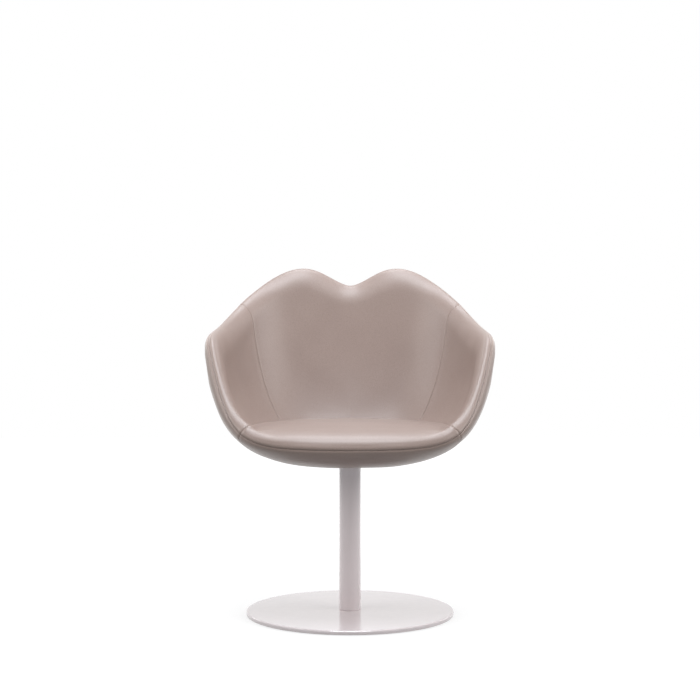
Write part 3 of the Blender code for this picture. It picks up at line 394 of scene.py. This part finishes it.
def seat_edge_path(stations):
    """Path at which each station's skin meets the seat: on the front roll, or down the inner face."""
    paths = np.arange(1.0, LOWEST_PATH, PATH_STEP)
    heights = on_tub(stations[:, None], paths[None])[..., 2]
    on_roll = np.interp(
        from_front_middle(stations), (FRONT_SEAM_STATION / 2, FRONT_SEAM_STATION),
        (FRONT_ROLL_PATH, RIM_INNER_PATH))
    result = []
    for row, least in zip(heights, on_roll):
        crown = int(np.argmax(row))
        below = np.nonzero(row[crown:] <= SEAT_EDGE_HEIGHT)[0]
        first = crown + int(below[0])
        share = 0.0
        if first > crown:
            share = (row[first - 1] - SEAT_EDGE_HEIGHT) / (row[first - 1] - row[first]) - 1
        result.append(max(least, paths[first] + PATH_STEP * share) if first > crown else least)
    return np.array(result)


# Meshes

def ripple(points, length, seed):
    """A soft random value, mostly from -1 to 1, with waves of about the given length."""
    waves = np.random.default_rng(seed)
    directions = unit(waves.normal(size=(WAVE_COUNT, 3)))
    lengths = length * waves.uniform(*WAVE_LENGTH_SHARES, WAVE_COUNT)
    phases = waves.uniform(0, math.tau, WAVE_COUNT)
    total = sum(
        np.sin(math.tau * (points @ direction) / wave + phase)
        for direction, wave, phase in zip(directions, lengths, phases))
    return total / WAVE_SCALE


def quads(index):
    """Faces between the rows and columns of a grid of point numbers."""
    corners = [index[:-1, :-1], index[1:, :-1], index[1:, 1:], index[:-1, 1:]]
    return np.stack(corners, axis=-1).reshape(-1, 4)


def sheet_object(name, grids, finish):
    """One smooth sheet from grids of points, columns by rows, whose shared edges are joined."""
    points, faces, start = [], [], 0
    for grid in grids:
        columns, rows = grid.shape[:2]
        index = np.arange(columns * rows).reshape(columns, rows) + start
        points.append(grid.reshape(-1, 3))
        faces.append(quads(index))
        start += columns * rows
    mesh = bpy.data.meshes.new(name)
    mesh.from_pydata(np.vstack(points).tolist(), [], np.vstack(faces).tolist())
    mesh.shade_smooth()
    mesh.materials.append(finish)
    piece = bpy.data.objects.new(name, mesh)
    bpy.context.scene.collection.objects.link(piece)
    weld = piece.modifiers.new("weld", "WELD")
    weld.merge_threshold = WELD_DISTANCE
    solidify = piece.modifiers.new("thickness", "SOLIDIFY")
    solidify.thickness = LEATHER_THICKNESS
    solidify.offset = -1
    return piece


# Sewn edges

def sewn_edge(seam_depth, seam_round):
    """Distances from the seam, depths and nearness of the leather's rows beside it."""
    angles = np.radians(SEAM_EDGE_DEGREES)
    swell_shares = np.array(SWELL_SHARES)
    swell = SWELL_HEIGHT * seam_round / RIM_SEAM_ROUND
    distances = np.concatenate([
        (0, 0), seam_round * (1 - np.cos(angles)), seam_round + SWELL_WIDTH * swell_shares])
    depths = np.concatenate([
        (seam_depth, (seam_depth + seam_round) / 2), seam_round * (1 - np.sin(angles)),
        -swell * SWELL_FACTOR * swell_shares * (1 - swell_shares) ** 2])
    return distances, depths, np.exp(-((distances / PUCKER_REACH) ** 2))


RIM_SEAM = "rim seam"
PLAIN_EDGE = (np.zeros(1), np.zeros(1), np.zeros(1))
RIM_EDGE = sewn_edge(SEAM_DEPTH, RIM_SEAM_ROUND)
PANEL_EDGE = sewn_edge(PANEL_SEAM_DEPTH, PANEL_SEAM_ROUND)


def spread(low, high, low_speed, high_speed, edges, shares):
    """One coordinate of a panel's lines: at true distances beside its edges, at shares between."""
    gaps = [0.0 if edge is PLAIN_EDGE else HALF_SEAM_GAP for edge in edges]
    near = [low + (gaps[0] + distance) / low_speed for distance in edges[0][0]]
    far = [high - (gaps[1] + distance) / high_speed for distance in edges[1][0]]
    middle = [near[-1] + (far[-1] - near[-1]) * share for share in shares]
    return np.array(near + middle + far[::-1])


def edge_values(edges, count, kind):
    """Depths (kind 1) or nearness (kind 2) of a panel's lines, with zeros between its edges."""
    return np.concatenate([edges[0][kind], np.zeros(count), edges[1][kind][::-1]])


def even_shares(station, first, last):
    """Shares of a path that cut a station's skin into equal cells."""
    paths = np.linspace(first, last, PATH_SAMPLES)
    points = on_tub(np.full(PATH_SAMPLES, station), paths)
    run = np.concatenate([[0], np.cumsum(np.linalg.norm(np.diff(points, axis=0), axis=1))])
    count = max(2, round(run[-1] / CELL_HEIGHT))
    cuts = np.interp(np.arange(1, count) / count * run[-1], run, paths)
    return (cuts - first) / (last - first)


def combined(columns, rows):
    """Depths of a grid from those of its columns and rows, which don't add up where two seams meet."""
    both = np.clip(columns, 0, None)[:, None] * np.clip(rows, 0, None)[None] / SEAM_DEPTH
    return columns[:, None] + rows[None] - both


def seam_path(stations):
    """Path of the seam round the rim, a little lower at the front."""
    return np.interp(from_front_middle(stations), SEAM_STATIONS, SEAM_PATHS)


def panel_grid(first, last, low, high, side_edges, path_edges):
    """Stations, paths, depths and nearness to a seam of a panel between two stations and two paths."""
    column_count = max(LEAST_COLUMNS, round((last - first) * CELLS_PER_STATION))
    column_shares = np.arange(1, column_count) / column_count
    middle = (first + last) / 2
    row_shares = even_shares(
        middle,
        seam_path(middle) if low is RIM_SEAM else low,
        seam_path(middle) if high is RIM_SEAM else high)
    one = np.ones(1)
    base = spread(
        first * one, last * one, station_speed(first * one, one), station_speed(last * one, one),
        side_edges, column_shares)[:, 0]
    low = seam_path(base) if low is RIM_SEAM else low
    high = seam_path(base) if high is RIM_SEAM else high
    paths = spread(
        low, high, path_speed(base, low + PATH_STEP), path_speed(base, high - PATH_STEP),
        path_edges, row_shares)
    stations = spread(
        first, last, station_speed(first, paths[:, 0]), station_speed(last, paths[:, -1]),
        side_edges, column_shares)
    depths = combined(
        edge_values(side_edges, len(column_shares), 1), edge_values(path_edges, len(row_shares), 1))
    nearness = np.maximum(
        edge_values(side_edges, len(column_shares), 2)[:, None],
        edge_values(path_edges, len(row_shares), 2)[None])
    return stations, paths.T, depths, nearness


def uneven(points, nearness):
    """Depth of the leather's own unevenness: puckers beside the seams and slow ripples elsewhere."""
    return (
        PUCKER_HEIGHT * nearness * ripple(points, PUCKER_LENGTH, PUCKER_SEED)
        + RIPPLE_HEIGHT * (1 - nearness) * ripple(points, RIPPLE_LENGTH, RIPPLE_SEED))


def seam_pull(stations, paths):
    """Depth by which the seams beside the back draw the padding in, most where they cross the rim."""
    away = np.abs(from_front_middle(stations) - BACK_SEAM_STATION)
    distance = away * station_speed(stations, paths)
    over_rim = np.exp(-(((paths - PULL_RIM_PATH) / PULL_RIM_REACH) ** 2))
    rise = np.clip((paths - PULL_INNER_PATH) / PULL_INNER_RISE, 0, 1)
    inner = rise * np.clip((LOWEST_PATH - paths) / PULL_INNER_FALL, 0, 1)
    near = np.exp(-((distance / SEAM_PULL_WIDTH) ** 2))
    return SEAM_PULL * (over_rim + PULL_INNER_SHARE * inner) * near


def tub_panel(name, first, last, low, high, side_edges, path_edges, finish):
    stations, paths, depths, nearness = panel_grid(first, last, low, high, side_edges, path_edges)
    depths = depths + uneven(on_tub(stations, paths), nearness)
    if low is RIM_SEAM:
        depths = depths + seam_pull(stations, paths)
    return sheet_object(name, [on_tub(stations, paths, depths)], finish)


# Seat

def dome(stations, shares, edge, slack):
    """Points of the seat's top at shares of the way from its middle to its edge."""
    centre = np.array((0.0, -SEAT_CENTRE_SETBACK, SEAT_HEIGHT))
    power = np.interp(
        from_front_middle(stations), (FRONT_SEAM_STATION / 2, BACK_SEAM_STATION),
        (DOME_POWER_FRONT, DOME_POWER_BACK))
    points = centre + shares[..., None] * (edge - centre)
    fall = shares ** power
    points[..., 2] = centre[2] - (centre[2] - edge[..., 2]) * fall - slack * (1 - fall)
    return points


def pad_places():
    """Stations and shares of a square grid of points that is wrapped over the seat."""
    line = np.linspace(-1, 1, PAD_CELLS + 1)
    across, back = np.meshgrid(line, line, indexing="ij")
    share = np.maximum(np.abs(across), np.abs(back))
    size = np.maximum(share, 1e-9)
    side = np.where(
        -back >= np.abs(across), across / size,
        np.where(across >= np.abs(back), 2 + back / size,
                 np.where(back >= np.abs(across), 4 - across / size, 6 - back / size)))
    return (side % PAD_HALF_SIDES) * STATION_COUNT / PAD_HALF_SIDES, share


def pad_swelling():
    """Rise of the seat's top, on pad_places, when a cloth that is held at its edge is blown up."""
    stations, shares = pad_places()
    flat = stations.ravel()
    start = dome(flat, shares.ravel(), on_tub(flat, seat_edge_path(flat)), PAD_SLACK)
    index = np.arange(len(start)).reshape(stations.shape)
    mesh = bpy.data.meshes.new("pad_cloth")
    mesh.from_pydata(start.tolist(), [], quads(index).tolist())
    pad = bpy.data.objects.new("pad_cloth", mesh)
    bpy.context.scene.collection.objects.link(pad)
    held = pad.vertex_groups.new(name="held")
    held.add(np.nonzero(shares.ravel() > PAD_HELD_SHARE)[0].tolist(), 1.0, "REPLACE")
    cloth = pad.modifiers.new("cloth", "CLOTH")
    cloth.settings.quality = PAD_QUALITY
    cloth.settings.vertex_group_mass = "held"
    cloth.settings.tension_stiffness = PAD_STIFFNESS
    cloth.settings.compression_stiffness = PAD_STIFFNESS
    cloth.settings.bending_stiffness = PAD_BENDING
    cloth.settings.use_pressure = True
    cloth.settings.uniform_pressure_force = PAD_PRESSURE
    cloth.settings.effector_weights.gravity = 0
    cloth.point_cache.frame_end = PAD_FRAMES
    for number in range(1, PAD_FRAMES + 1):
        bpy.context.scene.frame_set(number)
    blown = pad.evaluated_get(bpy.context.evaluated_depsgraph_get())
    ends = np.array([vertex.co for vertex in blown.data.vertices])
    bpy.context.scene.frame_set(1)
    bpy.data.objects.remove(pad)
    rise = ends[:, 2] - start[:, 2]
    print("pad rise mm", round(float(rise.max()) * 1000, 2), round(float(rise.mean()) * 1000, 2))
    return np.clip(rise, 0, PAD_MOST_SWELL).reshape(stations.shape)


def swelling_at(rise, stations, shares):
    """Rise of the pad at any station and share, between its grid's points."""
    side = (stations % STATION_COUNT) * PAD_HALF_SIDES / STATION_COUNT
    front = (side < 1) | (side > 7)
    right = ~front & (side < 3)
    behind = ~front & ~right & (side < 5)
    along = np.where(side > 7, side - PAD_HALF_SIDES, side)
    across = np.where(front, along, np.where(right, 1, np.where(behind, 4 - side, -1)))
    back = np.where(front, -1, np.where(right, side - 2, np.where(behind, 1, 6 - side)))
    places = (np.stack([across, back]) * shares + 1) / 2 * PAD_CELLS
    low = np.clip(np.floor(places).astype(int), 0, PAD_CELLS - 1)
    part = places - low
    near = rise[low[0], low[1]] * (1 - part[1]) + rise[low[0], low[1] + 1] * part[1]
    far = rise[low[0] + 1, low[1]] * (1 - part[1]) + rise[low[0] + 1, low[1] + 1] * part[1]
    return near * (1 - part[0]) + far * part[0]


def seat_top(stations, edge, rise):
    """Function that gives the seat's top at distances inside its edge, for each station."""
    radius = np.linalg.norm(edge - (0.0, -SEAT_CENTRE_SETBACK, SEAT_HEIGHT), axis=1)

    def top(distances, further=0.0):
        shares = (1 - distances / radius)[:, None] * (1 - further)
        wide = np.repeat(stations[:, None], shares.shape[1], axis=1)
        points = dome(wide, shares, edge[:, None], PAD_SLACK)
        points[..., 2] += swelling_at(rise, wide, shares)
        points[..., 2] -= uneven(points, 0.0)
        return points

    return top


def rounded_rows(steps, lengths, top, edge, beyond):
    """Rows at steps past (below zero) and inside the seat's edge, rounded over it by lengths."""
    lengths = np.maximum(lengths, 1e-6)
    first = top(lengths)[:, 0]
    last = beyond(lengths)
    rows = []
    for step in steps:
        distances = np.full(len(lengths), step)
        share = np.clip((lengths - distances) / (2 * lengths), 0, 1)[:, None]
        curve = (1 - share) ** 2 * first + 2 * share * (1 - share) * edge + share**2 * last
        straight = top(distances)[:, 0] if step >= 0 else beyond(-distances)
        rows.append(np.where((np.abs(distances) > lengths)[:, None], straight, curve))
    return np.array(rows).transpose(1, 0, 2)


def front_seat_grid(rise):
    """Front columns: from the rim seam up the flap, over the roll and across the dome."""
    one = np.ones(1)
    count = round(2 * FRONT_SEAM_STATION * CELLS_PER_STATION)
    shares = np.arange(1, count) / count
    side_edges = (PANEL_EDGE, PANEL_EDGE)
    path_edges = (RIM_EDGE, PLAIN_EDGE)
    speed = station_speed(FRONT_SEAM_STATION * one, SEAT_EDGE_PATH * one)
    stations = spread(
        -FRONT_SEAM_STATION * one, FRONT_SEAM_STATION * one, speed, speed, side_edges, shares)[:, 0]
    columns = edge_values(side_edges, len(shares), 1)
    edge_paths = seat_edge_path(stations)
    seam_paths = seam_path(stations)
    flap_tops = seam_paths + FLAP_PATHS
    fade = smooth_step((FRONT_SEAM_STATION - np.abs(stations)) / CORNER_FADE_STATIONS)[:, None, None]
    edge = on_tub(stations, edge_paths)
    top = seat_top(stations, edge, rise)
    past = np.array([on_tub(stations, edge_paths + (flap_tops - edge_paths) * share)
                     for share in -STEPS_PAST / SEAT_ROLL_LENGTH])
    inside = np.array([top(np.full(len(stations), step))[:, 0] for step in STEPS_INSIDE])
    rows = np.concatenate([past, inside]).transpose(1, 0, 2)
    for _ in range(SOFTENING_COUNT):
        middle = (rows[:, :-2] + rows[:, 2:]) / 2
        rows[:, 1:-1] += (middle - rows[:, 1:-1]) * fade / 2
    # Seen from the side, the front is one broad curve from the flap to the flat of the seat
    start = rows[:, 0]
    start_way = unit(start - on_tub(stations, flap_tops - 2 * PATH_STEP))
    end = rows[:, -1]
    end_way = unit(top(np.full(len(stations), FRONT_ROLL_DEPTH + PROBE_LENGTH))[:, 0] - end)
    steps = np.concatenate([STEPS_PAST, STEPS_INSIDE])
    run = (steps - steps[0]) / (steps[-1] - steps[0])
    curve = np.array([
        rounded_corner(start, start_way, end, end_way, share, FRONT_HANDLE_SHARES)
        for share in run**FRONT_RUN_POWER])
    broad = smooth_step((FRONT_SEAM_STATION - np.abs(stations)) / FRONT_BROAD_STATIONS)
    rows += (curve.transpose(1, 0, 2) - rows) * broad[:, None, None]
    inner = top(np.full(len(stations), STEPS_INSIDE[-1]), np.arange(1, DOME_ROWS + 1) / DOME_ROWS)
    flap = spread(
        seam_paths, flap_tops, path_speed(stations, seam_paths + PATH_STEP), one,
        path_edges, np.array((0.5,))).T
    wide = np.repeat(stations[:, None], flap.shape[1], axis=1)
    nearness = np.maximum(
        edge_values(side_edges, len(shares), 2)[:, None], edge_values(path_edges, 1, 2)[None])
    depths = combined(columns, edge_values(path_edges, 1, 1))
    depths += uneven(on_tub(wide, flap), nearness) * np.linspace(1, 0, flap.shape[1])
    # The cross seams sink the first rows past the flap too, and end where the seat meets the arms
    sink = np.zeros(rows.shape[1])
    sink[:len(SINK_SHARES)] = SINK_SHARES
    normals = unit(on_tub(stations, flap_tops) - on_tub(stations, flap_tops, PROBE_DEPTH))
    rows = rows - (columns[:, None] * sink[None])[..., None] * normals[:, None]
    return np.concatenate([on_tub(wide, flap, depths)[:, :-1], rows, inner], axis=1), stations


def side_seat_grid(rise, first, last):
    """Side and back columns: from beside the walls up over the seat's edge and across the dome."""
    count = round((last - first) * CELLS_PER_STATION)
    stations = first + (last - first) * np.arange(count + 1) / count
    edge_paths = seat_edge_path(stations)
    speed = path_speed(stations, edge_paths + SPEED_PROBE_PATH)
    fade = smooth_step((from_front_middle(stations) - FRONT_SEAM_STATION) / CORNER_FADE_STATIONS)
    gap = SEAT_WALL_GAP * fade

    def beyond(distances):
        return on_tub(stations, edge_paths + distances / speed, -gap)

    edge = beyond(np.zeros(len(stations)))
    top = seat_top(stations, edge, rise)
    steps = np.concatenate([STEPS_PAST, STEPS_INSIDE])
    rows = rounded_rows(steps, SEAT_ROLL_LENGTH * fade, top, edge, beyond)
    inner = top(np.full(len(stations), steps[-1]), np.arange(1, DOME_ROWS + 1) / DOME_ROWS)
    tucks = [beyond(np.full(len(stations), length)) for length in (
        SEAT_TUCK_LENGTH, (SEAT_TUCK_LENGTH + SEAT_ROLL_LENGTH) / 2)]
    return np.concatenate([np.array(tucks).transpose(1, 0, 2), rows, inner], axis=1)


def make_seat(finish):
    rise = pad_swelling()
    front, stations = front_seat_grid(rise)
    side = side_seat_grid(rise, stations[-1], STATION_COUNT + stations[0])
    return sheet_object("seat_leather", [front, side], finish)


# Materials

def new_material(name):
    material = bpy.data.materials.new(name)
    material.use_nodes = True
    tree = material.node_tree
    return material, tree, tree.nodes["Principled BSDF"]


def add_node(tree, kind, inputs=None, **settings):
    node = tree.nodes.new(kind)
    for key, value in settings.items():
        setattr(node, key, value)
    for key, value in (inputs or {}).items():
        if isinstance(value, bpy.types.NodeSocket):
            tree.links.new(value, node.inputs[key])
        else:
            node.inputs[key].default_value = value
    return node


def object_place(tree):
    return add_node(tree, "ShaderNodeTexCoord").outputs["Object"]


def mixed_colour(tree, factor, first, second):
    node = add_node(tree, "ShaderNodeMix", {0: factor}, data_type="RGBA")
    for socket, value in ((node.inputs[6], first), (node.inputs[7], second)):
        if isinstance(value, bpy.types.NodeSocket):
            tree.links.new(value, socket)
        else:
            socket.default_value = (*value, 1)
    return node.outputs[2]


def noise(tree, place, scale, detail=3.0, roughness=0.5):
    return add_node(
        tree, "ShaderNodeTexNoise",
        {"Vector": place, "Scale": scale, "Detail": detail, "Roughness": roughness}).outputs["Fac"]


def ranged(tree, value, low, high, new_low, new_high):
    return add_node(
        tree, "ShaderNodeMapRange",
        {"Value": value, "From Min": low, "From Max": high, "To Min": new_low, "To Max": new_high}
    ).outputs["Result"]


def from_noise(tree, value, low, high):
    """A noise's usual values spread from low to high."""
    return ranged(tree, value, *NOISE_RANGE, low, high)


def bumped(tree, shader, height, distance, strength):
    bump = add_node(
        tree, "ShaderNodeBump", {"Height": height, "Distance": distance, "Strength": strength})
    tree.links.new(bump.outputs["Normal"], shader.inputs["Normal"])


def make_leather():
    material, tree, shader = new_material("leather")
    place = object_place(tree)
    shift = add_node(
        tree, "ShaderNodeTexNoise", {"Vector": place, "Scale": GRAIN_SHIFT_SCALE}).outputs["Color"]
    small = add_node(tree, "ShaderNodeVectorMath", {0: shift, "Scale": GRAIN_SHIFT}, operation="SCALE")
    moved = add_node(
        tree, "ShaderNodeVectorMath", {0: place, 1: small.outputs[0]}, operation="ADD").outputs[0]
    pebbles = add_node(
        tree, "ShaderNodeTexVoronoi", {"Vector": moved, "Scale": GRAIN_SCALE}).outputs["Distance"]
    grain = ranged(tree, pebbles, *GRAIN_RANGE, 1.0, 0.0)
    mottle = from_noise(tree, noise(tree, place, MOTTLE_SCALE, 4.0), 0.0, 1.0)
    tone = mixed_colour(tree, mottle, LEATHER_DARK, LEATHER_LIGHT)
    valley = mixed_colour(tree, grain, LEATHER_VALLEY, tone)
    tree.links.new(valley, shader.inputs["Base Color"])
    pores = noise(tree, place, PORE_SCALE, 2.0)
    tree.links.new(from_noise(tree, pores, *LEATHER_ROUGHNESS), shader.inputs["Roughness"])
    height = add_node(tree, "ShaderNodeMath", {0: grain, 1: pores}, operation="ADD").outputs[0]
    bumped(tree, shader, height, GRAIN_DEPTH, 0.5)
    shader.inputs["IOR"].default_value = 1.3
    shader.inputs["Coat Weight"].default_value = 0.75
    shader.inputs["Coat Roughness"].default_value = 0.38
    shader.inputs["Coat IOR"].default_value = 1.5
    return material


def make_paint():
    material, tree, shader = new_material("painted_steel")
    place = object_place(tree)
    cloud = from_noise(tree, noise(tree, place, 9.0, 3.0), 0.0, 1.0)
    tone = mixed_colour(tree, cloud, PAINT_DARK, PAINT_LIGHT)
    tree.links.new(tone, shader.inputs["Base Color"])
    rough = from_noise(tree, noise(tree, place, 60.0, 4.0), *PAINT_ROUGHNESS)
    tree.links.new(rough, shader.inputs["Roughness"])
    bumped(tree, shader, noise(tree, place, 420.0, 3.0), PAINT_DEPTH, 0.35)
    shader.inputs["IOR"].default_value = 1.5
    shader.inputs["Coat Weight"].default_value = 0.7
    shader.inputs["Coat Roughness"].default_value = 0.07
    return material


def make_plain(name, dark, light, roughness, grain_scale, grain_depth, metallic=0.0):
    """A moulded, woven or machined finish: two close tones, a fine grain and uneven roughness."""
    material, tree, shader = new_material(name)
    place = object_place(tree)
    cloud = from_noise(tree, noise(tree, place, 25.0, 4.0), 0.0, 1.0)
    tree.links.new(mixed_colour(tree, cloud, dark, light), shader.inputs["Base Color"])
    grain = noise(tree, place, grain_scale, 4.0, 0.6)
    tree.links.new(
        from_noise(tree, grain, roughness * 0.85, roughness * 1.15), shader.inputs["Roughness"])
    bumped(tree, shader, grain, grain_depth, 0.6)
    shader.inputs["Metallic"].default_value = metallic
    return material


def make_finishes():
    return {
        "leather": make_leather(),
        "painted_steel": make_paint(),
        "bare_steel": make_plain(
            "bare_steel", (0.52, 0.52, 0.53), (0.62, 0.62, 0.62), 0.28, 900.0, 0.00001, 1.0),
        "nylon": make_plain(
            "nylon", (0.030, 0.030, 0.032), (0.042, 0.042, 0.044), 0.5, 700.0, 0.00003),
        "acetal": make_plain(
            "acetal", (0.62, 0.61, 0.57), (0.70, 0.69, 0.65), 0.35, 900.0, 0.00001),
        "shell": make_plain(
            "shell", (0.045, 0.043, 0.040), (0.070, 0.066, 0.060), 0.55, 260.0, 0.0001),
        "foam": make_plain(
            "foam", (0.60, 0.56, 0.44), (0.70, 0.66, 0.54), 0.95, 1300.0, 0.0002),
        "wadding": make_plain(
            "wadding", (0.74, 0.74, 0.73), (0.82, 0.82, 0.81), 0.95, 500.0, 0.0003),
        "dust_cover": make_plain(
            "dust_cover", (0.012, 0.012, 0.013), (0.022, 0.022, 0.023), 0.9, 1800.0, 0.0001),
    }


def finish_cad_nodes(finishes):
    """Gives each CAD node the material of its slot."""
    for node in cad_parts.values():
        for slot in node.material_slots:
            slot.material = finishes[slot.material.name.split(".")[0]]


# Pieces

def make_leather_pieces(leather):
    left_seam = STATION_COUNT - BACK_SEAM_STATION
    left_end = STATION_COUNT - FRONT_SEAM_STATION
    outside = (PLAIN_EDGE, RIM_EDGE)
    inside = (RIM_EDGE, PLAIN_EDGE)
    pieces = {}

    def add(name, first, last, low, high, side_edges, path_edges, *nodes):
        pieces[name] = tub_panel(name, first, last, low, high, side_edges, path_edges, leather)
        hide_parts(*nodes)

    sides = (PANEL_EDGE, PANEL_EDGE)
    add("outer_leather", FRONT_SEAM_STATION, left_end, COVER_START_PATH, RIM_SEAM,
        sides, outside, "outer_cover", "outer_wadding")
    add("front_under_leather", -FRONT_SEAM_STATION, FRONT_SEAM_STATION, COVER_START_PATH, RIM_SEAM,
        sides, outside, "front_under_cover")
    add("right_arm_leather", FRONT_SEAM_STATION, BACK_SEAM_STATION, RIM_SEAM, LOWEST_PATH,
        sides, inside, "right_arm_cover", "right_arm_foam")
    add("back_leather", BACK_SEAM_STATION, left_seam, RIM_SEAM, LOWEST_PATH,
        sides, inside, "back_cover", "back_foam")
    add("left_arm_leather", left_seam, left_end, RIM_SEAM, LOWEST_PATH,
        sides, inside, "left_arm_cover", "left_arm_foam")
    pieces["seat_leather"] = make_seat(leather)
    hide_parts("seat_cover", "seat_foam", "front_foam")
    for name, piece in pieces.items():
        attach(piece, "seat")


# Studio

def seen_level(tree, unseen):
    """Strength 1 where the camera sees it, also in reflections, and the one that lights the object."""
    rays = add_node(tree, "ShaderNodeLightPath")
    glossy = add_node(
        tree, "ShaderNodeMath", {0: rays.outputs["Is Camera Ray"], 1: rays.outputs["Is Glossy Ray"]},
        operation="MAXIMUM").outputs[0]
    through = add_node(
        tree, "ShaderNodeMath", {0: glossy, 1: rays.outputs["Is Transmission Ray"]},
        operation="MAXIMUM").outputs[0]
    return ranged(tree, through, 0.0, 1.0, unseen, 1.0)


def make_floor():
    material, tree, shader = new_material("studio_floor")
    shader.inputs["Base Color"].default_value = FLOOR_TONE
    shader.inputs["Roughness"].default_value = 0.9
    shader.inputs["Specular IOR Level"].default_value = 0.1
    shader.inputs["Emission Color"].default_value = WHITE
    away = add_node(
        tree, "ShaderNodeVectorMath", {0: object_place(tree)}, operation="LENGTH").outputs["Value"]
    level = ranged(tree, away, *FLOOR_FADE, FLOOR_LEVEL_NEAR, 1.0)
    seen = seen_level(tree, 0.0)
    strength = add_node(tree, "ShaderNodeMath", {0: seen, 1: level}, operation="MULTIPLY").outputs[0]
    tree.links.new(strength, shader.inputs["Emission Strength"])
    mesh = bpy.data.meshes.new("studio_floor")
    corners = [
        (FLOOR_HALF * across, FLOOR_HALF * along, 0)
        for across, along in ((-1, -1), (1, -1), (1, 1), (-1, 1))]
    mesh.from_pydata(corners, [], [(0, 1, 2, 3)])
    mesh.materials.append(material)
    floor = bpy.data.objects.new("studio_floor", mesh)
    bpy.context.scene.collection.objects.link(floor)


def make_world():
    world = bpy.data.worlds.new("studio")
    bpy.context.scene.world = world
    world.use_nodes = True
    tree = world.node_tree
    background = tree.nodes["Background"]
    background.inputs["Color"].default_value = WHITE
    tree.links.new(seen_level(tree, WORLD_LEVEL), background.inputs["Strength"])


def add_lamp(name, place, size, power, colour):
    """A square lamp that points at LAMP_AIM."""
    data = bpy.data.lights.new(name, "AREA")
    data.shape = "SQUARE"
    data.size = size
    data.energy = power
    data.color = colour
    lamp = bpy.data.objects.new(name, data)
    bpy.context.scene.collection.objects.link(lamp)
    lamp.location = place
    direction = np.array(LAMP_AIM) - np.array(place)
    flat = math.hypot(direction[0], direction[1])
    lamp.rotation_euler = (math.atan2(flat, -direction[2]), 0, math.atan2(-direction[0], direction[1]))


def make_camera():
    data = bpy.data.cameras.new("camera")
    data.sensor_width = 36.0
    data.angle = math.radians(CAMERA_FIELD_DEGREES)
    data.clip_end = 50.0
    camera = bpy.data.objects.new("camera", data)
    bpy.context.scene.collection.objects.link(camera)
    camera.location = (0, -CAMERA_DISTANCE, CAMERA_HEIGHT)
    camera.rotation_euler = (math.pi / 2, 0, 0)
    bpy.context.scene.camera = camera


def make_studio():
    make_floor()
    make_world()
    for lamp in LAMPS:
        add_lamp(*lamp)
    make_camera()
    bpy.context.scene.view_settings.view_transform = "Standard"


make_studio()
finishes = make_finishes()
finish_cad_nodes(finishes)
make_leather_pieces(finishes["leather"])
